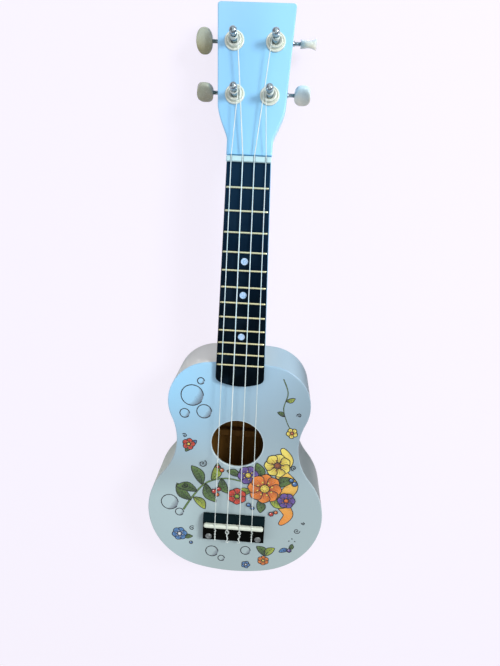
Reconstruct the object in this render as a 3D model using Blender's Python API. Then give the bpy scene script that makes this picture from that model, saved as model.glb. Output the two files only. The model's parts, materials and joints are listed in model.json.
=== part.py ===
# Soprano ukulele, lying on its back. Metres, +Z out of the soundboard, +Y towards the head,
# -X is the side of the lowest-placed string (the fourth). The origin lies on the back plate's
# outer face, on the centre line and straight beneath the middle of the scale's lower end.
import math

import bmesh
import bpy
from mathutils import Matrix, Vector

# Scale, and the clearances that every piece takes from here
SCALE_LENGTH = 0.345
FRET_COUNT = 12
GAP = 0.0003
FINE_GAP = 0.0001

# Body: five tangent arcs make each half of its outline
TAIL_Y = -0.0631
LOWER_BOUT_HALF = 0.0883
LOWER_BOUT_Y = 0.0083
LOWER_BOUT_RADIUS = 0.0694
WAIST_RADIUS = 0.0594
UPPER_BOUT_HALF = 0.0672
UPPER_BOUT_RADIUS = 0.0412
UPPER_BOUT_TO_END = 0.0425
BODY_END_PAST_TWELFTH = 0.0005
BODY_DEPTH = 0.0560
BOARD_THICKNESS = 0.0020
BACK_THICKNESS = 0.0020
BOARD_EDGE_RADIUS = 0.0012
SIDE_THICKNESS = 0.0018
LINING_WIDTH = 0.0045
LINING_FACE = 0.0040
LINING_HEIGHT = 0.0090
SOUND_HOLE_RADIUS = 0.0250
SOUND_HOLE_TO_FRETBOARD = 0.0624
NECK_BLOCK_HALF = 0.0280
NECK_BLOCK_DEPTH = 0.0180
TAIL_BLOCK_HALF = 0.0250
TAIL_BLOCK_DEPTH = 0.0120
BRACE_WIDTH = 0.0070
BRACE_HEIGHT = 0.0080
BRACE_END_HEIGHT = 0.0025
BRACE_TAPER = 0.0180
BRACE_TO_SOUND_HOLE = 0.0330
BACK_BRACE_TO_SOUND_HOLE = 0.0143
PATCH_LENGTH = 0.0840
PATCH_WIDTH = 0.0320
PATCH_THICKNESS = 0.0020

# Neck, heel and tilted head
NUT_HALF_WIDTH = 0.0177
NECK_BODY_HALF_WIDTH = 0.0222
NECK_DEPTH_AT_NUT = 0.0125
NECK_DEPTH_AT_HEEL = 0.0145
NECK_FULLNESS = 2.3
NECK_EDGE = 0.0004
HEEL_LENGTH = 0.0420
HEEL_CAP_Z = 0.0040
HEEL_SEAT = 0.0030
HEEL_OVERREACH = 0.0160
HEEL_FULLNESS = 1.55
HEEL_SWEEP = 2.6
HEAD_TILT = math.radians(13.0)
HEAD_LENGTH = 0.1155
HEAD_THICKNESS = 0.0115
HEAD_STEP = 0.0025
HEAD_THROAT_HALF = 0.0182
HEAD_SHOULDER_HALF = 0.0270
HEAD_TIP_HALF = 0.0308
HEAD_FLARE_START = 0.0120
HEAD_FLARE_END = 0.0410
HEAD_CORNER_RADIUS = 0.0018
HEAD_EDGE_RADIUS = 0.0012

# Fretboard, frets, dots and nut
BOARD_NUT_HALF = 0.01736
BOARD_TWELFTH_HALF = 0.02172
FRETBOARD_THICKNESS = 0.0042
FRETBOARD_OVER_BODY = 0.0213
FRETBOARD_END_BOW = 0.0053
FRETBOARD_CORNER_RADIUS = 0.0040
FRET_WIDTH = 0.0018
FRET_HEIGHT = 0.0010
FRET_INSET = 0.0003
DOT_FRETS = (5, 7, 10)
DOT_RADIUS = 0.0030
DOT_THICKNESS = 0.0012
NUT_LENGTH = 0.0045
NUT_RISE = 0.0023
NUT_EDGE = 0.0008
NUT_FRONT_DROP = 0.0006
NUT_REAR_DROP = 0.0012

# Bridge and saddle
BRIDGE_WIDTH = 0.0620
BRIDGE_FRONT_Y = 0.0090
BRIDGE_REAR_Y = -0.0195
BRIDGE_HEIGHT = 0.0060
BRIDGE_FRONT_HEIGHT = 0.0042
BRIDGE_EDGE = 0.0008
BRIDGE_RIDGE = 0.0012
SADDLE_Y = -0.0012
SADDLE_THICKNESS = 0.0044
SADDLE_LENGTH = 0.0600
SADDLE_SLOT_DEPTH = 0.0030
SADDLE_CROWN = 0.0016
TIE_SLOT_WIDTH = 0.0016
TIE_SLOT_DEPTH = 0.0016
TIE_SLOT_START_Y = -0.0050
TIE_RUN = 0.0027
SCREW_X = 0.0250
SCREW_Y = -0.0150
SCREW_HEAD_RADIUS = 0.0030
SCREW_HEAD_HEIGHT = 0.0014
SCREW_SHANK_RADIUS = 0.0015
SCREW_REACH = 0.0030
SCREW_EDGE = 0.0004

# Strings, from the first (+X) to the fourth (-X)
STRING_DIAMETERS = (0.00062, 0.00074, 0.00086, 0.00066)
STRING_SADDLE_PITCH = 0.01237
STRING_NUT_PITCH = 0.00917
STRING_TAILS = (0.0, 0.0030, 0.0030, 0.0)
ACTION_AT_NUT = 0.0018
ACTION_AT_TWELFTH = 0.0036
WINDING_TURNS = 2.75
WINDING_PITCH = 0.0013
WINDING_START = 0.0072
LOOP_POINTS = 24

# Tuners, placed on the head: half spacing across, and the distance from the nut along the head
LOWER_POST_X = 0.0137
LOWER_POST_ALONG = 0.0464
UPPER_POST_X = 0.0161
UPPER_POST_ALONG = 0.0866
POST_RADIUS = 0.0027
POST_WAIST_RADIUS = 0.0022
POST_RING_RADIUS = 0.0027
POST_RING_HEIGHT = 0.0012
POST_GROOVE_RADIUS = 0.0018
POST_BALL_RADIUS = 0.0030
POST_BALL_HALF_HEIGHT = 0.0023
POST_HEIGHT = 0.0180
POST_FOOT_HEIGHT = 0.0020
POST_EASE = 0.0004
POST_STUB_RADIUS = 0.0017
STRING_HOLE_RADIUS = 0.0007
BUSHING_FLANGE_RADIUS = 0.0077
BUSHING_STEP_RADIUS = 0.0055
BUSHING_BARREL_RADIUS = 0.0042
BUSHING_FLANGE_HEIGHT = 0.0015
BUSHING_HEIGHT = 0.0035
BUSHING_DEPTH = 0.0080
PLATE_THICKNESS = 0.0010
PLATE_HALF_WIDTH = 0.0070
PLATE_REACH_BACK = 0.0085
PLATE_REACH_FRONT = 0.0150
LUG_THICKNESS = 0.0012
LUG_HALF_WIDTH = 0.0032
GEAR_TEETH = 14
GEAR_MODULE = 0.0007
GEAR_FACE = 0.0032
TOOTH_BACKLASH = 0.00032
WORM_PITCH_RADIUS = 0.0026
WORM_OVER_PLATE = 0.0010
WORM_SIDES = 12
WORM_TURNS = 3
WORM_SHAFT_RADIUS = 0.0015
LUG_SPACING = 0.0098
COLLAR_RADIUS = 0.0021
COLLAR_LENGTH = 0.0082
KNOB_LENGTH = 0.0131
KNOB_WIDTH = 0.0195
KNOB_INNER_THICKNESS = 0.0067
KNOB_WAIST_THICKNESS = 0.0056
KNOB_OUTER_THICKNESS = 0.0087
KNOB_CENTRE = 0.0260
KNOB_SOCKET = 0.0060
KNOB_WAIST_SHARE = 0.45
KNOB_FULLNESS = 2.4
KNOB_TURNS = (67.0, 118.0, 30.0, 70.0)

# Levels and places that follow from the sizes above
BOARD_BOTTOM_Z = BODY_DEPTH - BOARD_THICKNESS
SIDE_BOTTOM_Z = BACK_THICKNESS + GAP
SIDE_TOP_Z = BOARD_BOTTOM_Z - GAP
BODY_TOP_Y = SCALE_LENGTH / 2 + BODY_END_PAST_TWELFTH
UPPER_BOUT_Y = BODY_TOP_Y - UPPER_BOUT_TO_END
FRETBOARD_END_Y = BODY_TOP_Y - FRETBOARD_OVER_BODY
SOUND_HOLE_Y = FRETBOARD_END_Y - SOUND_HOLE_TO_FRETBOARD
UPPER_BRACE_Y = SOUND_HOLE_Y + BRACE_TO_SOUND_HOLE
LOWER_BRACE_Y = SOUND_HOLE_Y - BRACE_TO_SOUND_HOLE
BACK_BRACE_Y = SOUND_HOLE_Y - BACK_BRACE_TO_SOUND_HOLE
NECK_TOP_Z = BODY_DEPTH
FRETBOARD_BOTTOM_Z = NECK_TOP_Z + GAP
FRETBOARD_TOP_Z = FRETBOARD_BOTTOM_Z + FRETBOARD_THICKNESS
NUT_REAR_Y = SCALE_LENGTH + NUT_LENGTH
HEAD_START = Vector((0.0, NUT_REAR_Y + GAP, NECK_TOP_Z + HEAD_STEP))
HEAD_ALONG = Vector((0.0, math.cos(HEAD_TILT), -math.sin(HEAD_TILT)))
HEAD_NORMAL = Vector((0.0, math.sin(HEAD_TILT), math.cos(HEAD_TILT)))
STRING_Z_AT_NUT = FRETBOARD_TOP_Z + ACTION_AT_NUT
STRING_Z_AT_SADDLE = FRETBOARD_TOP_Z + 2 * ACTION_AT_TWELFTH - ACTION_AT_NUT
BRIDGE_TOP_Z = BODY_DEPTH + GAP + BRIDGE_HEIGHT
GEAR_PITCH_RADIUS = GEAR_TEETH * GEAR_MODULE / 2
WORM_OFFSET = GEAR_PITCH_RADIUS + WORM_PITCH_RADIUS
WORM_OUTER_RADIUS = WORM_PITCH_RADIUS + GEAR_MODULE
WORM_DEPTH = HEAD_THICKNESS + GAP + PLATE_THICKNESS + WORM_OVER_PLATE + WORM_OUTER_RADIUS

FINISHES = {
    "lacquer": ((0.62, 0.74, 0.80), 0.22, 0.0),
    "bare_wood": ((0.45, 0.31, 0.18), 0.75, 0.0),
    "board_black": ((0.012, 0.018, 0.026), 0.38, 0.0),
    "black_plastic": ((0.012, 0.014, 0.017), 0.35, 0.0),
    "ivory_plastic": ((0.78, 0.80, 0.70), 0.35, 0.0),
    "cream_plastic": ((0.70, 0.69, 0.58), 0.30, 0.0),
    "pearl": ((0.55, 0.68, 0.78), 0.20, 0.0),
    "brass": ((0.72, 0.60, 0.34), 0.30, 1.0),
    "nickel": ((0.62, 0.63, 0.64), 0.18, 1.0),
    "nylon": ((0.82, 0.86, 0.88), 0.25, 0.0),
}


def paint(obj, finish):
    colour, roughness, metallic = FINISHES[finish]
    material = bpy.data.materials.new(obj.name + "_" + finish)
    material.use_nodes = True
    shader = material.node_tree.nodes["Principled BSDF"]
    shader.inputs["Base Color"].default_value = (*colour, 1.0)
    shader.inputs["Roughness"].default_value = roughness
    shader.inputs["Metallic"].default_value = metallic
    obj.data.materials.append(material)


def add_object(name, mesh, finish, parent=None):
    obj = bpy.data.objects.new(name, mesh)
    bpy.context.scene.collection.objects.link(obj)
    if parent is not None:
        obj.parent = parent
    paint(obj, finish)
    return obj


def skin(name, rings, closed=False, smooth=30.0):
    """Joins rings of equally many points side by side. Open ends get a cap."""
    build = bmesh.new()
    made = [[build.verts.new(point) for point in ring] for ring in rings]
    count = len(made[0])
    pairs = list(zip(made, made[1:]))
    if closed:
        pairs.append((made[-1], made[0]))
    else:
        build.faces.new(made[0])
        build.faces.new(made[-1])
    for low, high in pairs:
        for i in range(count):
            j = (i + 1) % count
            build.faces.new((low[i], low[j], high[j], high[i]))
    return finish_mesh(name, build, smooth)


def finish_mesh(name, build, smooth=30.0):
    bmesh.ops.recalc_face_normals(build, faces=build.faces)
    mesh = bpy.data.meshes.new(name)
    build.to_mesh(mesh)
    build.free()
    mesh.shade_smooth()
    mesh.set_sharp_from_angle(angle=math.radians(smooth))
    return mesh


def prism(name, outline, low, high, smooth=30.0):
    rings = [[Vector((x, y, z)) for x, y in outline] for z in (low, high)]
    return skin(name, rings, smooth=smooth)


def bar(name, outline, x_low, x_high, smooth=30.0):
    """A Y-Z outline drawn out along X."""
    rings = [[Vector((x, y, z)) for y, z in outline] for x in (x_low, x_high)]
    return skin(name, rings, smooth=smooth)


def turned(name, profile, sides, bored=False, smooth=30.0):
    """A profile of (radius, height) points turned about Z."""
    rings = []
    for radius, height in profile:
        angles = [2 * math.pi * i / sides for i in range(sides)]
        rings.append([Vector((radius * math.cos(a), radius * math.sin(a), height)) for a in angles])
    return skin(name, rings, closed=bored, smooth=smooth)


def cut(target, name, mesh, matrix=None):
    """Cuts a mesh out of a target for good, with a cutter that stays hidden."""
    cutter = bpy.data.objects.new("cutter_" + name, mesh)
    bpy.context.scene.collection.objects.link(cutter)
    if matrix is not None:
        cutter.matrix_world = matrix
    cutter.hide_render = True
    cutter.hide_viewport = False
    cutter.display_type = "WIRE"
    modifier = target.modifiers.new("cut_" + name, "BOOLEAN")
    modifier.operation = "DIFFERENCE"
    modifier.solver = "EXACT"
    modifier.object = cutter
    return cutter


# Body outline. A station is an arc's centre, radius, side and direction, so that any inset
# outline comes from the same stations.
def outline_arcs():
    lower = Vector((LOWER_BOUT_HALF - LOWER_BOUT_RADIUS, LOWER_BOUT_Y))
    upper = Vector((UPPER_BOUT_HALF - UPPER_BOUT_RADIUS, UPPER_BOUT_Y))
    tail_radius = enclosing_radius(lower, LOWER_BOUT_RADIUS, lower.y - TAIL_Y)
    top_radius = enclosing_radius(upper, UPPER_BOUT_RADIUS, BODY_TOP_Y - upper.y)
    tail = Vector((0.0, TAIL_Y + tail_radius))
    top = Vector((0.0, BODY_TOP_Y - top_radius))
    waist = outer_meeting_point(
        lower, LOWER_BOUT_RADIUS + WAIST_RADIUS, upper, UPPER_BOUT_RADIUS + WAIST_RADIUS
    )
    to_tail = direction(tail, lower)
    to_waist = direction(lower, waist)
    to_top = direction(top, upper)
    from_waist = direction(upper, waist)
    return (
        (tail, tail_radius, 1, -math.pi / 2, to_tail),
        (lower, LOWER_BOUT_RADIUS, 1, to_tail, to_waist),
        (waist, WAIST_RADIUS, -1, to_waist + math.pi, from_waist + math.pi),
        (upper, UPPER_BOUT_RADIUS, 1, from_waist, to_top),
        (top, top_radius, 1, to_top, math.pi / 2),
    )


def enclosing_radius(centre, radius, height):
    """Radius of the arc about the centre line that passes at a height and holds a circle inside."""
    return (centre.x**2 + height**2 - radius**2) / (2 * (height - radius))


def outer_meeting_point(first, first_reach, second, second_reach):
    along = second - first
    gap = along.length
    share = (gap**2 + first_reach**2 - second_reach**2) / (2 * gap)
    out = math.sqrt(first_reach**2 - share**2)
    along.normalize()
    return first + along * share + Vector((along.y, -along.x)) * out


def direction(start, end):
    return math.atan2(end.y - start.y, end.x - start.x)


ARC_STEPS = (4, 13, 6, 8, 3)
CUT_OVER = 0.003
LINING_END = 0.0004
LINING_SETBACK = 0.0020


def half_stations(start_x=0.0, marks=()):
    """Stations from the tail to the neck on the +X side, with extra ones at marked half widths."""
    stations = []
    arcs = outline_arcs()
    for number, ((centre, radius, side, begin, end), steps) in enumerate(zip(arcs, ARC_STEPS)):
        angles = [begin + (end - begin) * i / steps for i in range(steps + 1)]
        if number == 0:
            angles[0] = begin + math.asin(start_x / radius)
            angles += [begin + math.asin(x / radius) for x in marks[:2]]
        elif number == len(arcs) - 1:
            angles[-1] = end - math.asin(start_x / radius)
            angles += [end - math.asin(x / radius) for x in marks[2:]]
        angles.sort(reverse=end < begin)
        first = 1 if number else 0
        stations += [(centre, radius, side, angle) for angle in angles[first:]]
    return stations


def at_inset(station, inset):
    centre, radius, side, angle = station
    reach = radius - side * inset
    return centre + reach * Vector((math.cos(angle), math.sin(angle)))


def whole_outline(inset):
    right = [at_inset(station, inset) for station in half_stations()]
    left = [Vector((-point.x, point.y)) for point in reversed(right[1:-1])]
    return right + left


def half_width_at(y, inset):
    """Half width of the faceted outline at a Y, above the lower bout's middle or at the tail."""
    points = [at_inset(station, inset) for station in half_stations()]
    for low, high in zip(points, points[1:]):
        if low.y <= y <= high.y:
            share = (y - low.y) / (high.y - low.y)
            return low.x + (high.x - low.x) * share
    return points[0].x


def end_height_at(x, inset, tail=False):
    """Y of the faceted outline at a half width, at the neck end or at the tail."""
    points = [at_inset(station, inset) for station in half_stations()]
    if not tail:
        points.reverse()
    for near, far in zip(points, points[1:]):
        if near.x <= abs(x) <= far.x:
            share = (abs(x) - near.x) / (far.x - near.x)
            return near.y + (far.y - near.y) * share
    return points[0].y


def add_plate(name, low, high, rounded_top, finish):
    """A soundboard or a back: the whole outline, with its outer edge rounded."""
    radius = BOARD_EDGE_RADIUS
    lean = math.radians(45.0)
    middle = radius * (1 - math.cos(lean))
    steps = [(0.0, radius), (middle, middle), (radius, 0.0)]
    if rounded_top:
        levels = [(0.0, low)] + [(inset, high - drop) for inset, drop in steps]
    else:
        levels = [(inset, low + drop) for inset, drop in reversed(steps)] + [(0.0, high)]
    rings = []
    for inset, level in levels:
        rings.append([Vector((p.x, p.y, level)) for p in whole_outline(inset)])
    return add_object(name, skin(name, rings, smooth=50.0), finish)


def add_side(name, hand):
    """One bent side with the linings glued along both its edges, stopped at the two blocks."""
    marks = (
        TAIL_BLOCK_HALF + LINING_SETBACK,
        TAIL_BLOCK_HALF + LINING_SETBACK + LINING_END,
        NECK_BLOCK_HALF + LINING_SETBACK + LINING_END,
        NECK_BLOCK_HALF + LINING_SETBACK,
    )
    rings = []
    for station in half_stations(GAP / 2, marks):
        x, y = at_inset(station, 0.0)
        block = TAIL_BLOCK_HALF if y < 0 else NECK_BLOCK_HALF
        at_an_end = not 0.0 < y < UPPER_BOUT_Y
        bare = at_an_end and x < block + LINING_SETBACK + LINING_END / 2
        inner = SIDE_THICKNESS + (0.0 if bare else LINING_WIDTH)
        profile = (
            (0.0, SIDE_BOTTOM_Z),
            (0.0, SIDE_TOP_Z),
            (inner, SIDE_TOP_Z),
            (inner, SIDE_TOP_Z - LINING_FACE),
            (SIDE_THICKNESS, SIDE_TOP_Z - LINING_HEIGHT),
            (SIDE_THICKNESS, SIDE_BOTTOM_Z + LINING_HEIGHT),
            (inner, SIDE_BOTTOM_Z + LINING_FACE),
            (inner, SIDE_BOTTOM_Z),
        )
        ring = []
        for inset, z in profile:
            point = at_inset(station, inset)
            ring.append(Vector((hand * point.x, point.y, z)))
        rings.append(ring)
    return add_object(name, skin(name, rings, smooth=40.0), "lacquer")


def add_block(name, half, depth, tail):
    """A glued block whose outer face follows the sides at the neck end or at the tail."""
    inset = SIDE_THICKNESS + GAP
    steps = 6
    edge = []
    for i in range(steps + 1):
        x = half * (2 * i / steps - 1)
        edge.append((x, end_height_at(x, inset, tail)))
    inner = edge[0][1] + (depth if tail else -depth)
    outline = edge + [(half, inner), (-half, inner)]
    return add_object(name, prism(name, outline, SIDE_BOTTOM_Z, SIDE_TOP_Z), "bare_wood")


def add_brace(name, y, face_z, outward):
    """A bar across a plate's inner face, thinned at both ends. outward is its way off the plate."""
    inset = SIDE_THICKNESS + LINING_WIDTH + GAP
    half = min(half_width_at(y + step, inset) for step in (-BRACE_WIDTH / 2, BRACE_WIDTH / 2)) - GAP
    near = face_z + outward * GAP
    low = near + outward * BRACE_END_HEIGHT
    high = near + outward * BRACE_HEIGHT
    taper = half - BRACE_TAPER
    outline = ((-half, near), (half, near), (half, low), (taper, high), (-taper, high), (-half, low))
    rings = []
    for edge_y in (y - BRACE_WIDTH / 2, y + BRACE_WIDTH / 2):
        rings.append([Vector((x, edge_y, z)) for x, z in outline])
    return add_object(name, skin(name, rings), "bare_wood")


def screw_places():
    return [("bass", -SCREW_X), ("treble", SCREW_X)]


def cut_screw_holes(target, low, high):
    for name, x in screw_places():
        profile = [(SCREW_SHANK_RADIUS + GAP, low), (SCREW_SHANK_RADIUS + GAP, high)]
        hole = turned("hole", profile, 12)
        cut(target, target.name + "_" + name, hole, Matrix.Translation((x, SCREW_Y, 0.0)))


def add_body():
    board = add_plate("soundboard", BOARD_BOTTOM_Z, BODY_DEPTH, True, "lacquer")
    low, high = BOARD_BOTTOM_Z - CUT_OVER, BODY_DEPTH + CUT_OVER
    opening = turned("opening", [(SOUND_HOLE_RADIUS, low), (SOUND_HOLE_RADIUS, high)], 40)
    cut(board, "sound_hole", opening, Matrix.Translation((0.0, SOUND_HOLE_Y, 0.0)))
    cut_screw_holes(board, low, high)
    add_plate("back_plate", 0.0, BACK_THICKNESS, False, "lacquer")
    add_side("side_bass", -1)
    add_side("side_treble", 1)
    add_block("neck_block", NECK_BLOCK_HALF, NECK_BLOCK_DEPTH, False)
    add_block("tail_block", TAIL_BLOCK_HALF, TAIL_BLOCK_DEPTH, True)
    add_brace("top_brace_upper", UPPER_BRACE_Y, BOARD_BOTTOM_Z, -1)
    add_brace("top_brace_lower", LOWER_BRACE_Y, BOARD_BOTTOM_Z, -1)
    add_brace("back_brace", BACK_BRACE_Y, BACK_THICKNESS, 1)
    add_patch()


def add_patch():
    """The thin pad under the soundboard that the bridge's two screws go into."""
    middle = (BRIDGE_FRONT_Y + BRIDGE_REAR_Y) / 2
    near, far = middle - PATCH_WIDTH / 2, middle + PATCH_WIDTH / 2
    half = PATCH_LENGTH / 2
    top = BOARD_BOTTOM_Z - GAP
    low = top - PATCH_THICKNESS
    outline = [(-half, near), (half, near), (half, far), (-half, far)]
    patch = add_object("bridge_patch", prism("bridge_patch", outline, low, top), "bare_wood")
    cut_screw_holes(patch, low - CUT_OVER, top + CUT_OVER)


# Neck
def head_point(x, along, normal):
    """A point of the tilted head: across, along it from the nut, and off its face."""
    return Vector((x, 0.0, 0.0)) + HEAD_START + HEAD_ALONG * along + HEAD_NORMAL * normal


def neck_half_width(y):
    share = (NUT_REAR_Y - y) / (NUT_REAR_Y - BODY_TOP_Y)
    return NUT_HALF_WIDTH + (NECK_BODY_HALF_WIDTH - NUT_HALF_WIDTH) * share


def head_half_width(along):
    if along < HEAD_FLARE_END:
        share = max(0.0, (along - HEAD_FLARE_START) / (HEAD_FLARE_END - HEAD_FLARE_START))
        share = share**1.5 * (2.5 - 1.5 * share)
        return HEAD_THROAT_HALF + (HEAD_SHOULDER_HALF - HEAD_THROAT_HALF) * share
    share = (along - HEAD_FLARE_END) / (HEAD_LENGTH - HEAD_FLARE_END)
    half = HEAD_SHOULDER_HALF + (HEAD_TIP_HALF - HEAD_SHOULDER_HALF) * share
    into_corner = max(0.0, along - (HEAD_LENGTH - HEAD_CORNER_RADIUS))
    return half - HEAD_CORNER_RADIUS + math.sqrt(HEAD_CORNER_RADIUS**2 - into_corner**2)


NECK_RING_STEPS = 10
HEEL_STEPS = 7
FLARE_STEPS = 7
HEAD_FULLNESS = 17.0


def neck_ring(half, depth, fullness, edge, place, floor=None):
    """A section of the neck: a flat top with eased edges over a rounded back.

    fullness 2 gives a half ellipse, and more gives squarer shoulders. place turns (x, depth)
    into a point.
    """
    ring = [place(half - edge, 0.0)]
    for i in range(NECK_RING_STEPS + 1):
        angle = math.pi * i / NECK_RING_STEPS
        across = math.copysign(abs(math.cos(angle)) ** (2 / fullness), math.cos(angle))
        down = math.sin(angle) ** (2 / fullness) if 0 < i < NECK_RING_STEPS else 0.0
        ring.append(place(half * across, edge + (depth - edge) * down))
    ring.append(place(edge - half, 0.0))
    if floor is not None:
        for point in ring:
            point.z = max(point.z, floor)
    return ring


def body_end_cutter():
    """The body's curved end, a gap larger, which the heel is cut to fit."""
    half = NECK_BODY_HALF_WIDTH + CUT_OVER
    steps = 10
    edge = []
    for i in range(steps + 1):
        x = half * (2 * i / steps - 1)
        edge.append((x, end_height_at(x, 0.0) + GAP))
    inner = BODY_TOP_Y - HEEL_SEAT - 2 * CUT_OVER
    return prism("body_end", edge + [(half, inner), (-half, inner)], -CUT_OVER, NECK_TOP_Z + CUT_OVER)


def heel_section(y):
    """Depth and fullness of the neck's section in the heel, which ends flat on its cap."""
    share = max(0.0, (y - BODY_TOP_Y) / HEEL_LENGTH)
    rise = max(0.0, 1 - share) ** HEEL_SWEEP
    deepest = NECK_TOP_Z - HEEL_CAP_Z + HEEL_OVERREACH
    depth = NECK_DEPTH_AT_HEEL + (deepest - NECK_DEPTH_AT_HEEL) * rise
    return depth, NECK_FULLNESS + (HEEL_FULLNESS - NECK_FULLNESS) * rise


def level_ring(y, depth, fullness, floor=None):
    def place(x, down):
        return Vector((x, y, NECK_TOP_Z - down))

    return neck_ring(neck_half_width(y), depth, fullness, NECK_EDGE, place, floor)


def head_ring(along, depth, fullness):
    def place(x, down):
        return head_point(x, along, -down)

    return neck_ring(head_half_width(along), depth, fullness, HEAD_EDGE_RADIUS, place)


def nut_slot_end(x, down):
    """The neck's end behind the nut, leant halfway between the neck and the head."""
    return Vector((x, NUT_REAR_Y + GAP - down * math.sin(HEAD_TILT / 2), NECK_TOP_Z - down))


def add_neck():
    rings = [level_ring(BODY_TOP_Y - HEEL_SEAT, *heel_section(BODY_TOP_Y), HEEL_CAP_Z)]
    for i in range(HEEL_STEPS + 1):
        y = BODY_TOP_Y + HEEL_LENGTH * (i / HEEL_STEPS) ** 1.3
        rings.append(level_ring(y, *heel_section(y), HEEL_CAP_Z))
    shaft_start = BODY_TOP_Y + HEEL_LENGTH
    for share in (0.35, 0.7, 1.0):
        y = shaft_start + (SCALE_LENGTH - shaft_start) * share
        depth = NECK_DEPTH_AT_HEEL + (NECK_DEPTH_AT_NUT - NECK_DEPTH_AT_HEEL) * share
        rings.append(level_ring(y, depth, NECK_FULLNESS))
    rings.append(neck_ring(NUT_HALF_WIDTH, NECK_DEPTH_AT_NUT, NECK_FULLNESS, NECK_EDGE, nut_slot_end))
    stations = [HEAD_STEP * 0.4, HEAD_FLARE_START / 2, HEAD_FLARE_START]
    flare = HEAD_FLARE_END - HEAD_FLARE_START
    stations += [HEAD_FLARE_START + flare * i / FLARE_STEPS for i in range(1, FLARE_STEPS + 1)]
    corner = HEAD_LENGTH - HEAD_CORNER_RADIUS
    stations += [(HEAD_FLARE_END + corner) / 2, corner]
    stations += [corner + HEAD_CORNER_RADIUS * math.sin(math.radians(a)) for a in (40.0, 70.0, 89.0)]
    for along in stations:
        share = min(1.0, along / HEAD_FLARE_START)
        depth = NECK_DEPTH_AT_NUT + HEAD_STEP + (HEAD_THICKNESS - NECK_DEPTH_AT_NUT - HEAD_STEP) * share
        fullness = NECK_FULLNESS + (HEAD_FULLNESS - NECK_FULLNESS) * share**2
        rings.append(head_ring(along, depth, fullness))
    neck = add_object("neck", skin("neck", rings, smooth=35.0), "lacquer")
    cut(neck, "heel_seat", body_end_cutter())
    for number, x, along in tuner_places():
        radius = BUSHING_BARREL_RADIUS + GAP
        hole = turned("post_hole", [(radius, -HEAD_THICKNESS - CUT_OVER), (radius, CUT_OVER)], 16)
        cut(neck, "post_hole_%d" % number, hole, head_matrix(x, along))


def tuner_places():
    """The four strings' numbers with their posts' places, across and along the head."""
    return [
        (1, LOWER_POST_X, LOWER_POST_ALONG),
        (2, UPPER_POST_X, UPPER_POST_ALONG),
        (3, -UPPER_POST_X, UPPER_POST_ALONG),
        (4, -LOWER_POST_X, LOWER_POST_ALONG),
    ]


def head_matrix(x, along, normal=0.0):
    """Axes on the head: X across, Y along it and Z off its face."""
    axes = Matrix((Vector((1.0, 0.0, 0.0)), HEAD_ALONG, HEAD_NORMAL)).transposed().to_4x4()
    return Matrix.Translation(head_point(x, along, normal)) @ axes


# Fretboard, frets, position dots and nut
def fret_y(number):
    return SCALE_LENGTH * 2 ** (-number / 12)


def fretboard_half_width(y):
    share = (SCALE_LENGTH - y) / (SCALE_LENGTH - fret_y(12))
    return BOARD_NUT_HALF + (BOARD_TWELFTH_HALF - BOARD_NUT_HALF) * share


def fretboard_outline():
    """The tapered board, with round corners and a bowed end towards the sound hole."""
    corner_y = FRETBOARD_END_Y + FRETBOARD_END_BOW
    half = fretboard_half_width(corner_y)
    bow_radius = (half**2 + FRETBOARD_END_BOW**2) / (2 * FRETBOARD_END_BOW)
    steps = 10
    reach = half - FRETBOARD_CORNER_RADIUS * 0.8
    end = []
    for i in range(steps + 1):
        x = reach * (1 - 2 * i / steps)
        end.append((x, FRETBOARD_END_Y + bow_radius - math.sqrt(bow_radius**2 - x**2)))
    start = SCALE_LENGTH - GAP
    edge_y = corner_y + FRETBOARD_CORNER_RADIUS * 0.7
    turn_y = corner_y + FRETBOARD_CORNER_RADIUS * 0.15
    turn_x = half - FRETBOARD_CORNER_RADIUS * 0.18
    right = [(fretboard_half_width(y), y) for y in (start, edge_y)] + [(turn_x, turn_y)]
    left = [(-x, y) for x, y in reversed(right)]
    return right + end + left


def add_fretboard():
    block = prism("fretboard", fretboard_outline(), FRETBOARD_BOTTOM_Z, FRETBOARD_TOP_Z)
    board = add_object("fretboard", block, "board_black")
    for number in DOT_FRETS:
        centre = Vector((0.0, (fret_y(number) + fret_y(number - 1)) / 2, FRETBOARD_TOP_Z))
        pocket_radius = DOT_RADIUS + FINE_GAP
        pocket_floor = -DOT_THICKNESS - FINE_GAP
        pocket = turned("pocket", [(pocket_radius, pocket_floor), (pocket_radius, CUT_OVER)], 20)
        cut(board, "dot_%02d" % number, pocket, Matrix.Translation(centre))
        dot = turned("dot", [(DOT_RADIUS, -DOT_THICKNESS), (DOT_RADIUS, 0.0)], 20)
        marker = add_object("marker_fret_%02d" % number, dot, "pearl")
        marker.location = centre
    for number in range(1, FRET_COUNT + 1):
        add_fret(number)


def add_fret(number):
    steps = 6
    outline = []
    for i in range(steps + 1):
        angle = math.pi * i / steps
        outline.append((FRET_WIDTH / 2 * math.cos(angle), FRET_HEIGHT * math.sin(angle)))
    half = fretboard_half_width(fret_y(number)) - FRET_INSET
    fret = add_object("fret_%02d" % number, bar("fret", outline, -half, half, smooth=50.0), "brass")
    fret.location = (0.0, fret_y(number), FRETBOARD_TOP_Z + FINE_GAP)


def string_xs(pitch):
    """The four strings' places across, from the first to the fourth."""
    return [pitch * (1.5 - i) for i in range(4)]


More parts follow.
